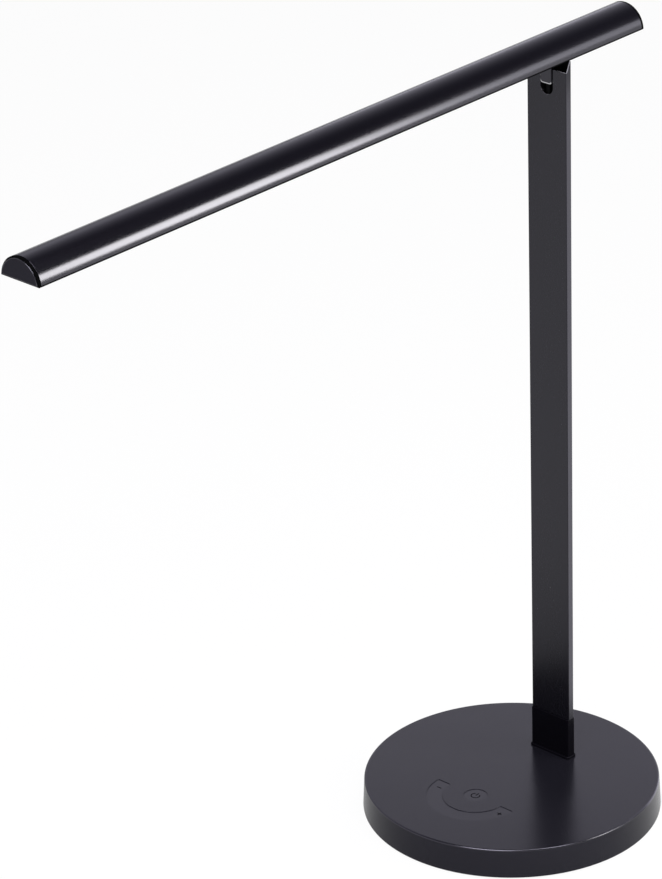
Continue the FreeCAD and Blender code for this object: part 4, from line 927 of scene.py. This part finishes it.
class LAMP_OT_light_bar(LampOperator, bpy.types.Operator):
    """Half round bar with a shallow channel for the light window"""
    bl_idname = "lamp.light_bar"
    bl_label = "Light bar"

    def execute(self, context):
        head = context.scene.lamp_head
        bm = bmesh.new()
        front = head.front_end + head.cap_thickness
        rear = head.rear_end - head.cap_thickness
        face = fill_ring(bm, half_round_ring(bm, head, front, notch=head.window_depth))
        lift(bm, face, (0.0, rear - front, 0.0))
        # Faces below this level take the near-black painted shade along the lower edges
        level = head.underside + head.trim
        slice_mesh(bm, (0.0, 0.0, level), (0.0, 0.0, 1.0))
        for face in bm.faces:
            face.material_index = 1 if face.calc_center_median().z < level else 0
        finish_piece("light_bar_housing", bm, "head", ["head_housing"], "black_aluminium",
                     "bar_anodised", "dull_black", edge=head.seam_round, steps=3, smooth=50.0)
        return {"FINISHED"}


class LAMP_OT_end_caps(LampOperator, bpy.types.Operator):
    """Half round end caps of the light bar"""
    bl_idname = "lamp.end_caps"
    bl_label = "End caps"

    def execute(self, context):
        head = context.scene.lamp_head
        self.cap(head, "front_cap", head.front_end + head.cap_thickness, -1.0)
        self.cap(head, "rear_cap", head.rear_end - head.cap_thickness, 1.0)
        return {"FINISHED"}

    def cap(self, head, node, seam, way):
        """Make one cap from rings that start inside the bar and end at the cap's face."""
        bm = bmesh.new()
        previous = None
        for inset, reach, index in self.profile(head):
            ring = half_round_ring(bm, head, seam + way * reach, inset=inset)
            if previous:
                faces = bmesh.ops.bridge_loops(bm, edges=previous + ring)["faces"]
            else:
                faces = [fill_ring(bm, ring)]
            for face in faces:
                face.material_index = index
            previous = ring
        fill_ring(bm, previous).material_index = 0
        finish_piece(f"{node}_plate", bm, "head", [node], "cap_plastic", "matte_cap",
                     "polished_rim", "dull_black", smooth=35.0)

    def profile(self, head):
        """Return the rings' inset, reach past the seam and finish: groove, band and bevel in near-black
        painted shade, then the polished rim.
        """
        groove, bevel, edge, rim = head.groove, head.cap_bevel, head.seam_round, head.cap_rim
        brow = head.cap_thickness - rim
        floor_end, band_end = groove * 0.3, brow - bevel * 0.7
        shoulder = (bevel * 0.3, brow - bevel * 0.2)
        # Groove, band and bevel get the near-black painted shade
        dull = [(groove + edge, -groove), (groove + edge, floor_end), (edge, groove - edge), (0.0, groove),
                (0.0, band_end), shoulder, (bevel, brow)]
        turns = [math.pi / 8 * step for step in range(1, 5)]
        polished = [(bevel + rim * (1.0 - math.cos(turn)), brow + rim * math.sin(turn)) for turn in turns]
        return [(*ring, 2) for ring in dull] + [(*ring, 1) for ring in polished]


class LAMP_OT_light_window(LampOperator, bpy.types.Operator):
    """Opal diffuser and the blank strip around the arm"""
    bl_idname = "lamp.light_window"
    bl_label = "Light window"

    def execute(self, context):
        head = context.scene.lamp_head
        front = head.front_end + head.cap_thickness + head.seam_gap
        rear = head.rear_end - head.cap_thickness - head.seam_gap
        bm = self.strip(head, front, head.window_seam - head.seam_gap / 2)
        thicken(bm, head.strip_height)
        finish_piece("diffuser_strip", bm, "head", ["diffuser"], "opal_plastic", "frosted_opal",
                     edge=head.strip_round, steps=3)
        bm = self.strip(head, head.window_seam + head.seam_gap / 2, rear)
        self.cut_hole(bm, head)
        thicken(bm, head.strip_height)
        finish_piece("hinge_cover_strip", bm, "head", ["hinge_cover"], "cap_plastic", "matte_cap",
                     edge=head.strip_round, steps=3)
        return {"FINISHED"}

    def strip(self, head, front, rear):
        """Start a flat strip in the window's channel."""
        bm = bmesh.new()
        sheet(bm, head.window_width - 2 * head.window_gap, rear - front,
              (0.0, (front + rear) / 2, head.underside + head.window_recess))
        return bm

    def cut_hole(self, bm, head):
        """Cut the arm's hole into the flat strip."""
        half = head.arm_width / 2 + head.arm_gap
        before = head.pin_setback - head.arm_front - head.arm_gap
        behind = head.pin_setback + head.knuckle + head.arm_gap
        for x in (half, -half):
            slice_mesh(bm, (x, 0.0, 0.0), (1.0, 0.0, 0.0))
        for y in (before, behind):
            slice_mesh(bm, (0.0, y, 0.0), (0.0, 1.0, 0.0))
        hole = [face for face in bm.faces
                if abs(face.calc_center_median().x) < half
                and before < face.calc_center_median().y < behind]
        bmesh.ops.delete(bm, geom=hole, context="FACES")


class LAMP_OT_solid_finishes(LampOperator, bpy.types.Operator):
    """Finishes of the solids that show as they are: cover, socket, hinge parts, boards and leads"""
    bl_idname = "lamp.solid_finishes"
    bl_label = "Finishes of the solids"

    def execute(self, context):
        for node, name in SOLIDS.items():
            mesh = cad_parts[node].data
            mesh.materials.clear()
            mesh.materials.append(finish(name))
        return {"FINISHED"}


class LAMP_OT_stage(LampOperator, bpy.types.Operator):
    """Pale floor, soft light and the camera"""
    bl_idname = "lamp.stage"
    bl_label = "Stage"

    def execute(self, context):
        stage, colours = context.scene.lamp_stage, context.scene.lamp_colours
        context.scene.view_settings.view_transform = "Standard"
        self.floor(stage, colours)
        self.sky(context, stage, colours)
        for name, place, target, size, power, colour in LIGHTS:
            self.softbox(name, place, target, size, power, getattr(colours, colour))
        self.camera(context, stage)
        return {"FINISHED"}

    def floor(self, stage, colours):
        """Round floor that looks white, keeps a soft shadow and is dimmer beside the base in mirrors."""
        bm = bmesh.new()
        bmesh.ops.create_circle(bm, cap_ends=True, segments=96, radius=stage.floor_radius)
        plate = loose_object("floor", bm)
        material, tree, shader = new_material("floor_paper")
        tree.nodes.remove(shader)
        path = add_node(tree, "ShaderNodeLightPath").outputs
        place = add_node(tree, "ShaderNodeNewGeometry").outputs["Position"]
        away = add_node(tree, "ShaderNodeVectorMath", {0: place, 1: stage.shade_place}, operation="DISTANCE")
        shade = ramp(tree, away.outputs["Value"], stage.shade_near, stage.shade_far, stage.floor_shade, 0.0)
        lost = calculate(tree, "MULTIPLY", shade, path["Is Glossy Ray"])
        seen = calculate(tree, "ADD", path["Is Camera Ray"], path["Is Glossy Ray"], use_clamp=True)
        seen = calculate(tree, "ADD", seen, path["Is Transmission Ray"], use_clamp=True)
        paper = [stage.floor_paper * part for part in colours.floor]
        matte = add_node(tree, "ShaderNodeBsdfDiffuse", {"Color": (*paper, 1.0)})
        glow = add_node(tree, "ShaderNodeEmission", {
            "Color": (*colours.floor, 1.0), "Strength": calculate(tree, "SUBTRACT", 1.0, lost)})
        mix = add_node(tree, "ShaderNodeMixShader", {
            "Fac": calculate(tree, "MULTIPLY", seen, stage.floor_glow),
            1: matte.outputs[0], 2: glow.outputs[0]})
        feed(tree.nodes["Material Output"], {"Surface": mix.outputs[0]})
        plate.data.materials.append(material)

    def sky(self, context, stage, colours):
        """White walls that fade to a dim ceiling."""
        world = bpy.data.worlds.new("studio")
        context.scene.world = world
        world.use_nodes = True
        tree = world.node_tree
        tree.nodes.clear()
        place = add_node(tree, "ShaderNodeTexCoord").outputs["Generated"]
        slope = add_node(tree, "ShaderNodeVectorMath", {0: place, 1: stage.sky_lean}, operation="DOT_PRODUCT")
        along = slope.outputs["Value"]
        fade = ramp(tree, along, stage.fade_start, stage.fade_end, stage.walls, stage.ceiling)
        dip = ramp(tree, along, stage.dip_start, stage.dip_end, stage.dip_level, 1.0)
        light = add_node(tree, "ShaderNodeBackground", {
            "Color": (*colours.sky, 1.0), "Strength": calculate(tree, "MULTIPLY", fade, dip)})
        add_node(tree, "ShaderNodeOutputWorld", {"Surface": light.outputs[0]})

    def softbox(self, name, place, target, size, power, colour):
        """One soft rectangular lamp aimed at a point."""
        lamp = bpy.data.lights.new(name, "AREA")
        lamp.shape = "RECTANGLE"
        lamp.size, lamp.size_y = size
        lamp.energy = power
        lamp.color = colour
        item = bpy.data.objects.new(name, lamp)
        item.location = place
        aim = Vector(target) - Vector(place)
        item.rotation_euler = aim.to_track_quat("-Z", "Y").to_euler()
        item.visible_camera = False
        bpy.context.scene.collection.objects.link(item)

    def camera(self, context, stage):
        """Camera at the photographed angle."""
        lens = bpy.data.cameras.new("camera")
        lens.sensor_fit = "VERTICAL"
        lens.sensor_height = 36.0
        lens.lens = stage.lens
        lens.clip_end = 50.0
        turn, rise, roll = stage.azimuth, stage.elevation, stage.roll
        back = Vector((math.sin(turn) * math.cos(rise), -math.cos(turn) * math.cos(rise), math.sin(rise)))
        right = Vector((math.cos(turn), math.sin(turn), 0.0))
        up = back.cross(right)
        level = right * math.cos(roll) + up * math.sin(roll)
        upright = up * math.cos(roll) - right * math.sin(roll)
        item = bpy.data.objects.new("camera", lens)
        matrix = Matrix((level, upright, back)).transposed().to_4x4()
        matrix.translation = Vector(stage.camera_place)
        item.matrix_world = matrix
        context.scene.collection.objects.link(item)
        context.scene.camera = item


OPERATORS = (
    LAMP_OT_base_shell, LAMP_OT_touch_marks, LAMP_OT_base_pad, LAMP_OT_upright_foot, LAMP_OT_upright_tube,
    LAMP_OT_upright_lead, LAMP_OT_hinge_arm, LAMP_OT_light_bar, LAMP_OT_end_caps, LAMP_OT_light_window,
    LAMP_OT_solid_finishes, LAMP_OT_stage,
)


class LAMP_PT_builder(bpy.types.Panel):
    """Lists the pieces of the lamp"""
    bl_idname = "LAMP_PT_builder"
    bl_label = "Desk lamp"
    bl_space_type = "VIEW_3D"
    bl_region_type = "UI"
    bl_category = "Desk lamp"

    def draw(self, context):
        column = self.layout.column(align=True)
        for operator in OPERATORS:
            column.operator(operator.bl_idname)


SETTINGS = {
    "lamp_base": BaseSizes, "lamp_upright": UprightSizes, "lamp_head": HeadSizes,
    "lamp_colours": LampColours, "lamp_stage": StageSettings,
}


def register():
    """Register the classes and attach the settings to the scene."""
    for item in (*SETTINGS.values(), *OPERATORS, LAMP_PT_builder):
        bpy.utils.register_class(item)
    for name, settings in SETTINGS.items():
        setattr(bpy.types.Scene, name, PointerProperty(type=settings))


def unregister():
    """Undo register."""
    for name in SETTINGS:
        delattr(bpy.types.Scene, name)
    for item in reversed((*SETTINGS.values(), *OPERATORS, LAMP_PT_builder)):
        bpy.utils.unregister_class(item)


def main():
    """Build every piece and the stage."""
    register()
    bpy.ops.lamp.base_shell()
    bpy.ops.lamp.touch_marks()
    bpy.ops.lamp.base_pad()
    bpy.ops.lamp.upright_foot()
    bpy.ops.lamp.upright_tube()
    bpy.ops.lamp.upright_lead()
    bpy.ops.lamp.hinge_arm()
    bpy.ops.lamp.light_bar()
    bpy.ops.lamp.end_caps()
    bpy.ops.lamp.light_window()
    bpy.ops.lamp.solid_finishes()
    bpy.ops.lamp.stage()


if __name__ == "__main__":
    main()
